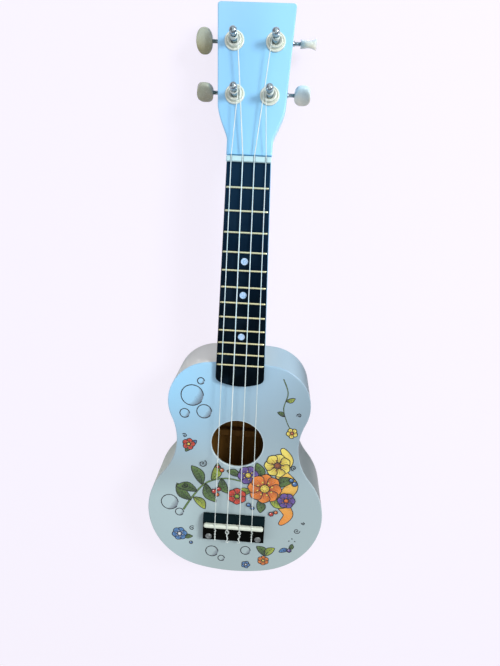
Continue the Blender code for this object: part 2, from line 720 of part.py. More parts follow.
def add_nut():
    """A bar with four string slots, lower at the back, seated against the head's step."""
    bottom = NECK_TOP_Z + GAP
    top = FRETBOARD_TOP_Z + NUT_RISE
    edge = NUT_EDGE
    half_width = NUT_HALF_WIDTH
    slots = list(zip(string_xs(STRING_NUT_PITCH), STRING_DIAMETERS))
    rings = []
    stations = ((0.0, NUT_FRONT_DROP), (edge, 0.0), (NUT_LENGTH, NUT_REAR_DROP))
    for past, drop in stations:
        crown = top - drop
        ring = [(-half_width, bottom), (-half_width, crown - edge), (edge - half_width, crown)]
        for x, diameter in reversed(slots):
            half = diameter / 2 + FINE_GAP
            floor = STRING_Z_AT_NUT - diameter / 2 - FINE_GAP - max(0.0, drop - NUT_FRONT_DROP)
            ring += [(x - half, crown), (x - half, floor), (x + half, floor), (x + half, crown)]
        ring += [(half_width - edge, crown), (half_width, crown - edge), (half_width, bottom)]
        rings.append([Vector((x, SCALE_LENGTH + past, z)) for x, z in ring])
    add_object("nut", skin("nut", rings), "ivory_plastic")


# Bridge
def stadium(half_length, half_width, steps=6):
    """A bar's outline with round ends, as (x, y)."""
    centre = half_length - half_width
    points = []
    for hand in (1, -1):
        for i in range(steps + 1):
            angle = math.pi * (i / steps - hand / 2)
            points.append((hand * centre + half_width * math.cos(angle), half_width * math.sin(angle)))
    return points


def add_saddle():
    slot_floor = BRIDGE_TOP_Z - SADDLE_SLOT_DEPTH + GAP
    crown = STRING_Z_AT_SADDLE - STRING_DIAMETERS[2] / 2 - FINE_GAP
    half = SADDLE_THICKNESS / 2
    levels = [(0.0, slot_floor)]
    for degrees in (0.0, 35.0, 65.0):
        angle = math.radians(degrees)
        levels.append((half * (1 - math.cos(angle)), crown - SADDLE_CROWN * (1 - math.sin(angle))))
    rings = []
    for inset, z in levels:
        outline = stadium(SADDLE_LENGTH / 2 - inset, half - inset)
        rings.append([Vector((x, y + SADDLE_Y, z)) for x, y in outline])
    add_object("saddle", skin("saddle", rings, smooth=40.0), "ivory_plastic")


def add_bridge():
    bottom = BODY_DEPTH + GAP
    front_top = bottom + BRIDGE_FRONT_HEIGHT
    edge = BRIDGE_EDGE
    ridge = SADDLE_Y + SADDLE_THICKNESS / 2 + BRIDGE_RIDGE
    outline = (
        (BRIDGE_REAR_Y, bottom),
        (BRIDGE_REAR_Y, BRIDGE_TOP_Z - edge),
        (BRIDGE_REAR_Y + edge, BRIDGE_TOP_Z),
        (ridge, BRIDGE_TOP_Z),
        (BRIDGE_FRONT_Y - edge, front_top),
        (BRIDGE_FRONT_Y, front_top - edge),
        (BRIDGE_FRONT_Y, bottom),
    )
    half = BRIDGE_WIDTH / 2
    bridge = add_object("bridge", bar("bridge", outline, -half, half, smooth=25.0), "black_plastic")
    slot = stadium(SADDLE_LENGTH / 2 + GAP, SADDLE_THICKNESS / 2 + GAP)
    slot_floor = BRIDGE_TOP_Z - SADDLE_SLOT_DEPTH
    saddle_slot = prism("saddle_slot", slot, slot_floor, BRIDGE_TOP_Z + CUT_OVER)
    cut(bridge, "saddle_slot", saddle_slot, Matrix.Translation((0.0, SADDLE_Y, 0.0)))
    for number, x in enumerate(string_xs(STRING_SADDLE_PITCH), 1):
        near, far = TIE_SLOT_START_Y, BRIDGE_REAR_Y - CUT_OVER
        low, high = BRIDGE_TOP_Z - TIE_SLOT_DEPTH, BRIDGE_TOP_Z + CUT_OVER
        outline = ((near, low), (far, low), (far, high), (near, high))
        tie_slot = bar("tie_slot", outline, x - TIE_SLOT_WIDTH / 2, x + TIE_SLOT_WIDTH / 2)
        cut(bridge, "tie_slot_%d" % number, tie_slot)
    for name, x in screw_places():
        add_bridge_screw(bridge, name, x, bottom)


def add_bridge_screw(bridge, name, x, bottom):
    """One screw with a flat round cap, and its stepped hole through the bridge."""
    head_floor = BRIDGE_TOP_Z - SCREW_HEAD_HEIGHT
    hole = [
        (SCREW_SHANK_RADIUS + GAP, bottom - CUT_OVER),
        (SCREW_SHANK_RADIUS + GAP, head_floor - GAP),
        (SCREW_HEAD_RADIUS + GAP, head_floor - GAP),
        (SCREW_HEAD_RADIUS + GAP, BRIDGE_TOP_Z + CUT_OVER),
    ]
    cut(bridge, "screw_" + name, turned("screw_hole", hole, 16), Matrix.Translation((x, SCREW_Y, 0.0)))
    profile = [
        (SCREW_SHANK_RADIUS, BOARD_BOTTOM_Z - GAP - PATCH_THICKNESS - SCREW_REACH),
        (SCREW_SHANK_RADIUS, head_floor),
        (SCREW_HEAD_RADIUS, head_floor),
        (SCREW_HEAD_RADIUS, BRIDGE_TOP_Z + FINE_GAP - SCREW_EDGE),
        (SCREW_HEAD_RADIUS - SCREW_EDGE, BRIDGE_TOP_Z + FINE_GAP),
    ]
    screw = add_object("bridge_screw_" + name, turned("screw", profile, 16), "nickel")
    screw.location = (x, SCREW_Y, 0.0)


# Tuners. Each has a base plate with two lugs under the head, a worm on the knob's shaft between
# them, and a wheel on the post's lower end. Axes come from empties: tuner_N on the post's axis at
# the head's face, worm_N_axis along the knob's shaft.
def add_bushing(number, axes):
    bore = POST_RADIUS + GAP
    rim = 0.0005
    step_z = BUSHING_FLANGE_HEIGHT
    profile = [
        (bore, -BUSHING_DEPTH),
        (BUSHING_BARREL_RADIUS, -BUSHING_DEPTH),
        (BUSHING_BARREL_RADIUS, GAP),
        (BUSHING_FLANGE_RADIUS, GAP),
        (BUSHING_FLANGE_RADIUS, step_z - rim),
        (BUSHING_FLANGE_RADIUS - rim, step_z),
        (BUSHING_STEP_RADIUS + rim, step_z),
        (BUSHING_STEP_RADIUS, BUSHING_HEIGHT - rim),
        (BUSHING_STEP_RADIUS - rim, BUSHING_HEIGHT),
        (bore, BUSHING_HEIGHT),
    ]
    add_object("bushing_%d" % number, turned("bushing", profile, 16, bored=True), "cream_plastic", axes)


def add_base_plate(number, axes):
    """The plate under the head, cut for the post, with a lug at each end of the worm."""
    top = -HEAD_THICKNESS - GAP
    bottom = top - PLATE_THICKNESS
    centre = (PLATE_REACH_FRONT - PLATE_REACH_BACK) / 2
    length = (PLATE_REACH_FRONT + PLATE_REACH_BACK) / 2
    outline = [(y, x + centre) for x, y in stadium(length, PLATE_HALF_WIDTH, 5)]
    plate = add_object("plate_%d" % number, prism("plate", outline, bottom, top), "nickel", axes)
    bore = POST_RADIUS + GAP
    hole = turned("plate_hole", [(bore, bottom - CUT_OVER), (bore, top + CUT_OVER)], 12)
    cut(plate, "plate_hole_%d" % number, hole, axes.matrix_world.copy())
    for hand in (-1, 1):
        lug = add_lug("lug", bottom, hand * (LUG_SPACING + LUG_THICKNESS) / 2)
        guide = bpy.data.objects.new("lug_%d_%d" % (number, hand), lug)
        bpy.context.scene.collection.objects.link(guide)
        guide.matrix_world = axes.matrix_world.copy()
        guide.hide_render = True
        guide.display_type = "WIRE"
        joined = plate.modifiers.new("lug", "BOOLEAN")
        joined.operation = "UNION"
        joined.solver = "EXACT"
        joined.object = guide


def add_lug(name, bottom, x):
    """A round-ended ear with its shaft hole, sunk a little into the plate that carries it."""
    rise = bottom + PLATE_THICKNESS / 2 + WORM_DEPTH
    corner = math.atan2(rise, LUG_HALF_WIDTH)
    angles = [math.pi * (i / 6 - 1) for i in range(7)]
    angles += [corner / 2, corner, math.pi / 2, math.pi - corner, math.pi - corner / 2]
    bore = WORM_SHAFT_RADIUS + GAP
    outer = []
    inner = []
    for angle in angles:
        reach = LUG_HALF_WIDTH
        if 0 < angle < math.pi:
            reach = rise / math.sin(angle)
            if abs(math.cos(angle)) * reach > LUG_HALF_WIDTH:
                reach = LUG_HALF_WIDTH / abs(math.cos(angle))
        outer.append((WORM_OFFSET + reach * math.cos(angle), -WORM_DEPTH + reach * math.sin(angle)))
        inner.append((WORM_OFFSET + bore * math.cos(angle), -WORM_DEPTH + bore * math.sin(angle)))
    low = x - LUG_THICKNESS / 2
    high = x + LUG_THICKNESS / 2
    rings = []
    for outline, level in ((inner, low), (outer, low), (outer, high), (inner, high)):
        rings.append([Vector((level, y, z)) for y, z in outline])
    return skin(name, rings, closed=True)


def add_worm(number, shaft, hand):
    """A right-handed thread between two journals, on a shaft that runs out to the knob.

    The shaft lies along Z here. The thread is one strip that winds along its own seam: each
    column of four points meets the first row of the column one turn on.
    """
    build = bmesh.new()
    lead = math.pi * GEAR_MODULE
    root = WORM_PITCH_RADIUS - WORM_ROOT_SHARE * GEAR_MODULE
    outer = WORM_OUTER_RADIUS
    flank = GEAR_MODULE * math.tan(PRESSURE_ANGLE)
    crest = (lead - TOOTH_BACKLASH) / 2 - 2 * TOOTH_TIP_SHARE * flank
    foot = (lead - TOOTH_BACKLASH) / 2 + 2 * TOOTH_FOOT_SHARE * flank
    rows = ((root, -foot / 2), (outer, -crest / 2), (outer, crest / 2), (root, foot / 2))
    last = WORM_SIDES * WORM_TURNS
    middle = last / 2
    columns = []
    for i in range(last + 1):
        angle = 2 * math.pi * i / WORM_SIDES
        column = []
        for radius, offset in rows:
            z = lead * (i - middle) / WORM_SIDES + offset
            column.append(build.verts.new((radius * math.cos(angle), radius * math.sin(angle), z)))
        columns.append(column)
    for i in range(last):
        here, after = columns[i], columns[i + 1]
        for row in range(3):
            build.faces.new((here[row], after[row], after[row + 1], here[row + 1]))
        if i + WORM_SIDES < last:
            ahead = i + WORM_SIDES
            build.faces.new((here[3], after[3], columns[ahead + 1][0], columns[ahead][0]))
    reach = LUG_SPACING / 2 - GAP
    inner_end = LUG_SPACING / 2 + LUG_THICKNESS + POST_EASE
    collar_start = LUG_SPACING / 2 + LUG_THICKNESS + GAP
    shaft_end = KNOB_CENTRE - KNOB_LENGTH / 2 + KNOB_SOCKET - GAP
    near = [(WORM_SHAFT_RADIUS, -reach), (WORM_SHAFT_RADIUS, -inner_end)]
    far = [(WORM_SHAFT_RADIUS, reach), (WORM_SHAFT_RADIUS, collar_start)]
    collar_end = collar_start + COLLAR_LENGTH
    far += [(COLLAR_RADIUS, collar_start), (COLLAR_RADIUS, collar_end)]
    far += [(WORM_SHAFT_RADIUS, collar_end + POST_EASE), (WORM_SHAFT_RADIUS, shaft_end)]
    if hand < 0:
        near, far = [(r, -z) for r, z in far], [(r, -z) for r, z in near]
    end_journal(build, columns, near, 0)
    end_journal(build, columns, far, last - WORM_SIDES)
    add_object("worm_%d" % number, finish_mesh("worm", build), "nickel", shaft)


def end_journal(build, columns, profile, first):
    """Closes one end of the thread: a run-out face at the seam, then the turned shaft."""
    starting = first == 0
    row = 0 if starting else 3
    start_angle = 2 * math.pi * first / WORM_SIDES
    rings = []
    for radius, z in profile:
        ring = []
        for i in range(WORM_SIDES):
            angle = start_angle + 2 * math.pi * i / WORM_SIDES
            ring.append(build.verts.new((radius * math.cos(angle), radius * math.sin(angle), z)))
        rings.append(ring)
    for i in range(WORM_SIDES):
        after = rings[0][(i + 1) % WORM_SIDES]
        build.faces.new((columns[first + i][row], columns[first + i + 1][row], after, rings[0][i]))
    turn = columns[first + WORM_SIDES]
    if starting:
        seam = [columns[0][0], columns[0][1], columns[0][2], columns[0][3], turn[0], rings[0][0]]
    else:
        seam = [turn[3], turn[2], turn[1], turn[0], columns[first][3], rings[0][0]]
    build.faces.new(seam)
    for low, high in zip(rings, rings[1:]):
        for i in range(WORM_SIDES):
            j = (i + 1) % WORM_SIDES
            build.faces.new((low[i], low[j], high[j], high[i]))
    build.faces.new(rings[-1])


PRESSURE_ANGLE = math.radians(20.0)
TOOTH_TIP_SHARE = 0.9
TOOTH_FOOT_SHARE = 1.1
TOOTH_ROOT_SHARE = 1.2
WORM_ROOT_SHARE = 1.25


def add_gear(number, axes):
    """A helical wheel with the worm's lead angle, bored for the post's stub."""
    lead_angle = math.atan(GEAR_MODULE / (2 * WORM_PITCH_RADIUS))
    outer = GEAR_PITCH_RADIUS + TOOTH_TIP_SHARE * GEAR_MODULE
    root = GEAR_PITCH_RADIUS - TOOTH_ROOT_SHARE * GEAR_MODULE
    pitch = 2 * math.pi / GEAR_TEETH
    backlash = TOOTH_BACKLASH / GEAR_PITCH_RADIUS
    tip = (pitch * 0.50 - backlash) / 2
    foot = (pitch * 1.36 - backlash) / 2
    shape = ((root, -foot / 2), (outer, -tip / 2), (outer, tip / 2), (root, foot / 2))
    rings = []
    for edge in (-1, 1):
        twist = edge * GEAR_FACE / 2 * math.tan(lead_angle) / GEAR_PITCH_RADIUS
        ring = []
        for tooth in range(GEAR_TEETH):
            centre = math.pi / 2 + (tooth + 0.5) * pitch + twist
            for radius, angle in shape:
                turned_to = centre + angle
                z = edge * GEAR_FACE / 2 - WORM_DEPTH
                ring.append(Vector((radius * math.cos(turned_to), radius * math.sin(turned_to), z)))
        rings.append(ring)
    gear = add_object("gear_%d" % number, skin("gear", rings), "brass", axes)
    bore = POST_STUB_RADIUS + GAP
    reach = GEAR_FACE / 2 + CUT_OVER
    hole = turned("gear_bore", [(bore, -WORM_DEPTH - reach), (bore, -WORM_DEPTH + reach)], 12)
    cut(gear, "gear_bore_%d" % number, hole, axes.matrix_world.copy())


def winding_end_height():
    return WINDING_START + WINDING_PITCH * WINDING_TURNS


def add_post(number, axes, hole_angle):
    """The string post, turned, with a cross hole at the string's end and a stub for the wheel."""
    stub_end = -WORM_DEPTH - GEAR_FACE / 2 - 2 * GAP
    shoulder = -WORM_DEPTH + GEAR_FACE / 2 + GAP
    foot_end = BUSHING_HEIGHT + POST_FOOT_HEIGHT
    ball = POST_HEIGHT - POST_BALL_HALF_HEIGHT
    ring_top = ball - POST_BALL_HALF_HEIGHT
    ring_start = ring_top - POST_RING_HEIGHT
    profile = [
        (POST_STUB_RADIUS, stub_end),
        (POST_STUB_RADIUS, shoulder),
        (POST_RADIUS, shoulder),
        (POST_RADIUS, foot_end - POST_EASE),
        (POST_WAIST_RADIUS, foot_end),
        (POST_WAIST_RADIUS, ring_start - POST_EASE),
        (POST_RING_RADIUS, ring_start),
        (POST_RING_RADIUS, ring_top),
        (POST_GROOVE_RADIUS, ring_top + POST_EASE),
    ]
    for degrees in (-30.0, 0.0, 30.0, 60.0, 80.0):
        angle = math.radians(degrees)
        height = ball + POST_BALL_HALF_HEIGHT * math.sin(angle)
        profile.append((POST_BALL_RADIUS * math.cos(angle), height))
    post = add_object("post_%d" % number, turned("post", profile, 12, smooth=40.0), "nickel", axes)
    reach = POST_RADIUS + CUT_OVER
    hole = turned("string_hole", [(STRING_HOLE_RADIUS, -reach), (STRING_HOLE_RADIUS, reach)], 8)
    turn = Matrix.Rotation(hole_angle, 4, "Z") @ Matrix.Rotation(math.pi / 2, 4, "Y")
    lift = Matrix.Translation((0.0, 0.0, winding_end_height()))
    cut(post, "string_hole_%d" % number, hole, axes.matrix_world @ lift @ turn)


def knob_section(share):
    """Half width and half thickness at a share of the knob's length, from its shaft end."""
    round_off = abs(2 * share - 1) ** KNOB_FULLNESS
    width = KNOB_WIDTH * max(0.0, 1 - round_off) ** (1 / KNOB_FULLNESS)
    if share < KNOB_WAIST_SHARE:
        slope = share / KNOB_WAIST_SHARE
        flare = KNOB_INNER_THICKNESS + (KNOB_WAIST_THICKNESS - KNOB_INNER_THICKNESS) * slope
    else:
        slope = (share - KNOB_WAIST_SHARE) / (1 - KNOB_WAIST_SHARE)
        flare = KNOB_WAIST_THICKNESS + (KNOB_OUTER_THICKNESS - KNOB_WAIST_THICKNESS) * slope**1.6
    return width / 2, flare / 2


KNOB_SHARES = (0.02, 0.10, 0.25, 0.45, 0.68, 0.86, 0.955, 0.99)
KNOB_SIDES = 16
KNOB_CORNER = 0.62


def add_knob(number, shaft, hand, turn):
    """An oval button with hollowed faces, pushed on the shaft by a blind socket."""
    start = KNOB_CENTRE - KNOB_LENGTH / 2
    rings = []
    socket = WORM_SHAFT_RADIUS + GAP
    for z in (start + KNOB_SOCKET, start + KNOB_LENGTH * KNOB_SHARES[0]):
        rings.append([(socket * math.cos(a), socket * math.sin(a), z) for a in knob_angles()])
    for share in KNOB_SHARES:
        half_width, half_thickness = knob_section(share)
        ring = []
        for angle in knob_angles():
            across = math.copysign(abs(math.cos(angle)) ** KNOB_CORNER, math.cos(angle))
            through = math.copysign(abs(math.sin(angle)) ** KNOB_CORNER, math.sin(angle))
            ring.append((half_width * across, half_thickness * through, start + KNOB_LENGTH * share))
        rings.append(ring)
    about = Matrix.Rotation(turn, 4, "Z")
    rings = [[about @ Vector((x, y, hand * z)) for x, y, z in ring] for ring in rings]
    add_object("knob_%d" % number, skin("knob", rings, smooth=45.0), "cream_plastic", shaft)


def knob_angles():
    return [2 * math.pi * (i + 0.5) / KNOB_SIDES for i in range(KNOB_SIDES)]


def add_empty(name, matrix):
    empty = bpy.data.objects.new(name, None)
    empty.empty_display_size = 0.01
    bpy.context.scene.collection.objects.link(empty)
    empty.matrix_world = matrix
    bpy.context.view_layer.update()
    return empty


def worm_matrix(x, along):
    """Axes on a knob's shaft: Z along +X, and X away from the post."""
    axes = Matrix((HEAD_ALONG, HEAD_NORMAL, Vector((1.0, 0.0, 0.0)))).transposed().to_4x4()
    return Matrix.Translation(head_point(x, along + WORM_OFFSET, -WORM_DEPTH)) @ axes


def add_tuners():
    for number, x, along in tuner_places():
        hand = 1 if x > 0 else -1
        axes = add_empty("tuner_%d" % number, head_matrix(x, along))
        shaft = add_empty("worm_%d_axis" % number, worm_matrix(x, along))
        add_bushing(number, axes)
        add_base_plate(number, axes)
        add_post(number, axes, string_wrap(number)[-1])
        add_gear(number, axes)
        add_worm(number, shaft, hand)
        add_knob(number, shaft, hand, math.radians(KNOB_TURNS[number - 1]))


# Strings, each one tube from its tail behind the saddle to its post's hole
def string_wrap(number):
    """Where a string meets its post: start point, radius, first angle, way round and end angle."""
    _, post_x, post_along = tuner_places()[number - 1]
    diameter = STRING_DIAMETERS[number - 1]
    leave = Vector((string_xs(STRING_NUT_PITCH)[number - 1], NUT_REAR_Y, STRING_Z_AT_NUT - 0.0003))
    offset = leave - HEAD_START
    start = Vector((offset.x, offset.dot(HEAD_ALONG), offset.dot(HEAD_NORMAL)))
    radius = POST_WAIST_RADIUS + GAP + diameter / 2
    way = 1 if post_x < 0 else -1
    run = Vector((post_x - start.x, post_along - start.y))
    heading = math.atan2(run.y, run.x) - way * math.asin(radius / run.length)
    first = heading - way * math.pi / 2
    return leave, radius, first, way, first + way * 2 * math.pi * WINDING_TURNS


def string_points(number):
    x_saddle = string_xs(STRING_SADDLE_PITCH)[number - 1]
    x_nut = string_xs(STRING_NUT_PITCH)[number - 1]
    radius = STRING_DIAMETERS[number - 1] / 2
    in_slot = BRIDGE_TOP_Z - TIE_SLOT_DEPTH + radius + FINE_GAP
    tail_y = BRIDGE_REAR_Y - STRING_TAILS[number - 1]
    crown_y = SADDLE_Y
    points = [
        Vector((x_saddle, tail_y, in_slot)),
        Vector((x_saddle, TIE_SLOT_START_Y - TIE_RUN, in_slot)),
        Vector((x_saddle, crown_y - SADDLE_THICKNESS * 0.55, STRING_Z_AT_SADDLE - 0.0010)),
        Vector((x_saddle, crown_y - SADDLE_THICKNESS * 0.30, STRING_Z_AT_SADDLE - 0.0002)),
        Vector((x_saddle, crown_y, STRING_Z_AT_SADDLE)),
        Vector((x_nut, SCALE_LENGTH, STRING_Z_AT_NUT)),
    ]
    leave, wrap, first, way, _ = string_wrap(number)
    points.append(leave)
    _, post_x, post_along = tuner_places()[number - 1]
    count = round(LOOP_POINTS * WINDING_TURNS)
    for i in range(count + 1):
        turns = i / LOOP_POINTS
        angle = first + way * 2 * math.pi * turns
        across = post_x + wrap * math.cos(angle)
        along = post_along + wrap * math.sin(angle)
        points.append(head_point(across, along, WINDING_START + WINDING_PITCH * turns))
    return points


def least_gap(points, diameter):
    """The least distance between the tube's surfaces half a turn or more apart along it."""
    apart = LOOP_POINTS // 2
    count = len(points)
    pairs = ((i, j) for i in range(count) for j in range(i + apart, count))
    return min((points[i] - points[j]).length for i, j in pairs) - diameter


def add_strings():
    for number, diameter in enumerate(STRING_DIAMETERS, 1):
        points = string_points(number)
        curve = bpy.data.curves.new("string", "CURVE")
        curve.dimensions = "3D"
        curve.bevel_depth = diameter / 2
        curve.bevel_resolution = 1
        curve.render_resolution_u = 0
        curve.use_fill_caps = True
        spline = curve.splines.new("POLY")
        spline.points.add(len(points) - 1)
        for slot, point in zip(spline.points, points):
            slot.co = (*point, 1.0)
        spline.use_smooth = True
        add_object("string_%d" % number, curve, "nylon")
        gap = 1000 * least_gap(points, diameter)
        print("string_%d: least gap between its turns %.2f mm" % (number, gap))


def main():
    for old in list(bpy.data.objects):
        bpy.data.objects.remove(old)
    add_body()
    add_neck()
    add_fretboard()
    add_nut()
    add_bridge()
    add_saddle()
    add_tuners()
    add_strings()


main()
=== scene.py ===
# Soprano ukulele on a pale studio floor. Metres, +Z out of the soundboard, +Y towards the head.
import json
import math

import bmesh
import bpy
from mathutils import Matrix, Vector


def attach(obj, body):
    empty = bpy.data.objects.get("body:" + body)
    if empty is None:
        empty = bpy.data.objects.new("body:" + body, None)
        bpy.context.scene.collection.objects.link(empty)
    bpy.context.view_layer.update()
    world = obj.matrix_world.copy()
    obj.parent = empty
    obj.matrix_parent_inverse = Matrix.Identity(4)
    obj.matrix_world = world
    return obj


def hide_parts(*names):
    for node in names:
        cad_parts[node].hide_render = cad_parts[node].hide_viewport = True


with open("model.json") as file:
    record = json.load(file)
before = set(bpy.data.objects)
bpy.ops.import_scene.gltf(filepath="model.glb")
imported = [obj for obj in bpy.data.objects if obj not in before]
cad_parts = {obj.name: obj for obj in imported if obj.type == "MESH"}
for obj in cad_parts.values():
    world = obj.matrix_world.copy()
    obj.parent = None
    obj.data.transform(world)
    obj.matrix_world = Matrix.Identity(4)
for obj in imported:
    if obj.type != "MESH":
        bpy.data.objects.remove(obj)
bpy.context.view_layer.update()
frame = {"nodes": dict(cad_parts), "record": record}

nodes = frame["nodes"]
bodyOf = {node: body for body, members in frame["record"]["behaviour"]["bodies"].items() for node in members}
mm = 0.001
scene = bpy.context.scene
scene.view_settings.view_transform = "Standard"
print("frame loaded:", len(nodes), "nodes")


def lerp(low, high, share):
    return low + (high - low) * share


def smoothstep(share):
    share = min(1.0, max(0.0, share))
    return share * share * (3 - 2 * share)


def addObject(name, data):
    made = bpy.data.objects.new(name, data)
    scene.collection.objects.link(made)
    return made


# The photograph's viewpoint: a wide lens close above the neck.
view = {
    "place": (0.02534, 0.33349, 0.46345),
    "turn": (0.3103, 0.0512, 0.0531),  # rotation vector away from looking straight down
    "lens": 26.057,
    "sensor": 36.0,
    "nearest": 0.01,
}


def addCamera():
    camera = bpy.data.cameras.new("camera")
    camera.lens = view["lens"]
    camera.sensor_width = view["sensor"]
    camera.clip_start = view["nearest"]
    holder = addObject("camera", camera)
    turn = Vector(view["turn"])
    spin = Matrix.Rotation(turn.length, 3, turn)
    down = Matrix(((1, 0, 0), (0, -1, 0), (0, 0, -1)))
    rows = spin @ down
    axes = Matrix((rows[0], -rows[1], -rows[2])).transposed().to_4x4()
    holder.matrix_world = Matrix.Translation(view["place"]) @ axes
    scene.camera = holder


# Studio: a pale floor that stays pale for the camera, a soft sky and four large lamps.
studio = {
    "floorSize": 6.0,
    "floorColour": (0.945, 0.905, 1.0),
    "floorGlow": 0.86,  # share of the floor that the camera sees as plain light
    "sky": 0.40,
    "lamps": {
        "key": {"place": (1.00, 0.90, 1.12), "aim": (0.0, 0.20, 0.04), "size": 0.50, "power": 19.5},
        "overhead": {"place": (0.10, 0.20, 1.60), "aim": (0.0, 0.10, 0.0), "size": 1.4, "power": 4.0},
        "head": {"place": (0.15, 1.55, 1.05), "aim": (0.0, 0.35, 0.05), "size": 1.8, "power": 6.0},
        "left": {"place": (-1.30, -0.20, 0.80), "aim": (0.0, 0.10, 0.03), "size": 0.9, "power": 3.5},
    },
}


def addLamp(name, choice):
    lamp = bpy.data.lights.new(name, "AREA")
    lamp.shape = "DISK"
    lamp.size = choice["size"]
    lamp.energy = choice["power"]
    holder = addObject(name, lamp)
    holder.location = choice["place"]
    towards = Vector(choice["aim"]) - Vector(choice["place"])
    holder.rotation_euler = towards.to_track_quat("-Z", "Y").to_euler()


def operator(operation, reflected=False):
    def act(wire, other=0.0):
        pair = (other, wire) if reflected else (wire, other)
        return wire.maths(operation, *pair)

    return act


# A wire is a socket of a shader tree. Sums on wires add the maths nodes that they stand for.
class Wire:
    def __init__(self, tree, socket=None):
        self.tree = tree
        self.socket = socket

    def node(self, kind, settings=None, inputs=None, output=0):
        made = self.tree.nodes.new(kind)
        for name, value in (settings or {}).items():
            setattr(made, name, value)
        for name, value in (inputs or {}).items():
            if isinstance(value, Wire):
                self.tree.links.new(value.socket, made.inputs[name])
            else:
                made.inputs[name].default_value = value
        return Wire(self.tree, made.outputs[output])

    def maths(self, operation, first, second=0.0):
        return self.node("ShaderNodeMath", {"operation": operation}, {0: first, 1: second})

    __add__ = __radd__ = operator("ADD")
    __mul__ = __rmul__ = operator("MULTIPLY")
    __sub__ = operator("SUBTRACT")
    __rsub__ = operator("SUBTRACT", reflected=True)
    __truediv__ = operator("DIVIDE")
    __pow__ = operator("POWER")
    __mod__ = operator("FLOORED_MODULO")
    __abs__ = operator("ABSOLUTE")

    def spread(self, low, high, toLow=0.0, toHigh=1.0):
        names = {"Value": self, "From Min": low, "From Max": high, "To Min": toLow, "To Max": toHigh}
        return self.node("ShaderNodeMapRange", {"interpolation_type": "SMOOTHSTEP"}, names)

    def blend(self, first, second):
        names = {"Factor": self, 6: withAlpha(first), 7: withAlpha(second)}
        return self.node("ShaderNodeMix", {"data_type": "RGBA"}, names, 2)

    def part(self, axis):
        return self.node("ShaderNodeSeparateXYZ", None, {0: self}, axis)


def rgb(red, green, blue):
    linear = []
    for channel in (red / 255, green / 255, blue / 255):
        linear.append(channel / 12.92 if channel <= 0.04045 else ((channel + 0.055) / 1.055) ** 2.4)
    return tuple(linear)


def withAlpha(colour):
    return colour if isinstance(colour, Wire) else (*colour, 1.0)


class Finish:
    def __init__(self, name, constants=None):
        self.material = bpy.data.materials.new(name)
        self.material.use_nodes = True
        self.tree = self.material.node_tree
        self.shader = self.tree.nodes["Principled BSDF"]
        self.wire = Wire(self.tree)
        for socket, value in (constants or {}).items():
            self.shader.inputs[socket].default_value = value

    def place(self):
        return self.wire.node("ShaderNodeTexCoord", None, None, "Object")

    def mapped(self, scale):
        return self.wire.node("ShaderNodeMapping", None, {"Vector": self.place(), "Scale": scale})

    def attribute(self, name, output):
        return self.wire.node("ShaderNodeAttribute", {"attribute_name": name}, None, output)

    def noise(self, vector, scale, detail=3.0, roughness=0.5, distortion=0.0):
        names = {"Vector": vector, "Scale": scale, "Detail": detail}
        names.update({"Roughness": roughness, "Distortion": distortion})
        return self.wire.node("ShaderNodeTexNoise", None, names)

    def ramp(self, value, stops):
        made = self.wire.node("ShaderNodeValToRGB", None, {"Fac": value})
        elements = made.socket.node.color_ramp.elements
        while len(elements) < len(stops):
            elements.new(1.0)
        for element, (place, colour) in zip(elements, stops):
            element.position = place
            element.color = withAlpha(colour)
        return made

    def rampAlong(self, stops):
        low, high = stops[0][0], stops[-1][0]
        share = self.place().part(1).spread(low, high)
        share.socket.node.interpolation_type = "LINEAR"
        return self.ramp(share, [((y - low) / (high - low), colour) for y, colour in stops])

    def bump(self, height, distance, strength=1.0):
        names = {"Height": height, "Distance": distance, "Strength": strength}
        self.feed("Normal", self.wire.node("ShaderNodeBump", None, names))

    def feed(self, socket, wire):
        self.tree.links.new(wire.socket, self.shader.inputs[socket])


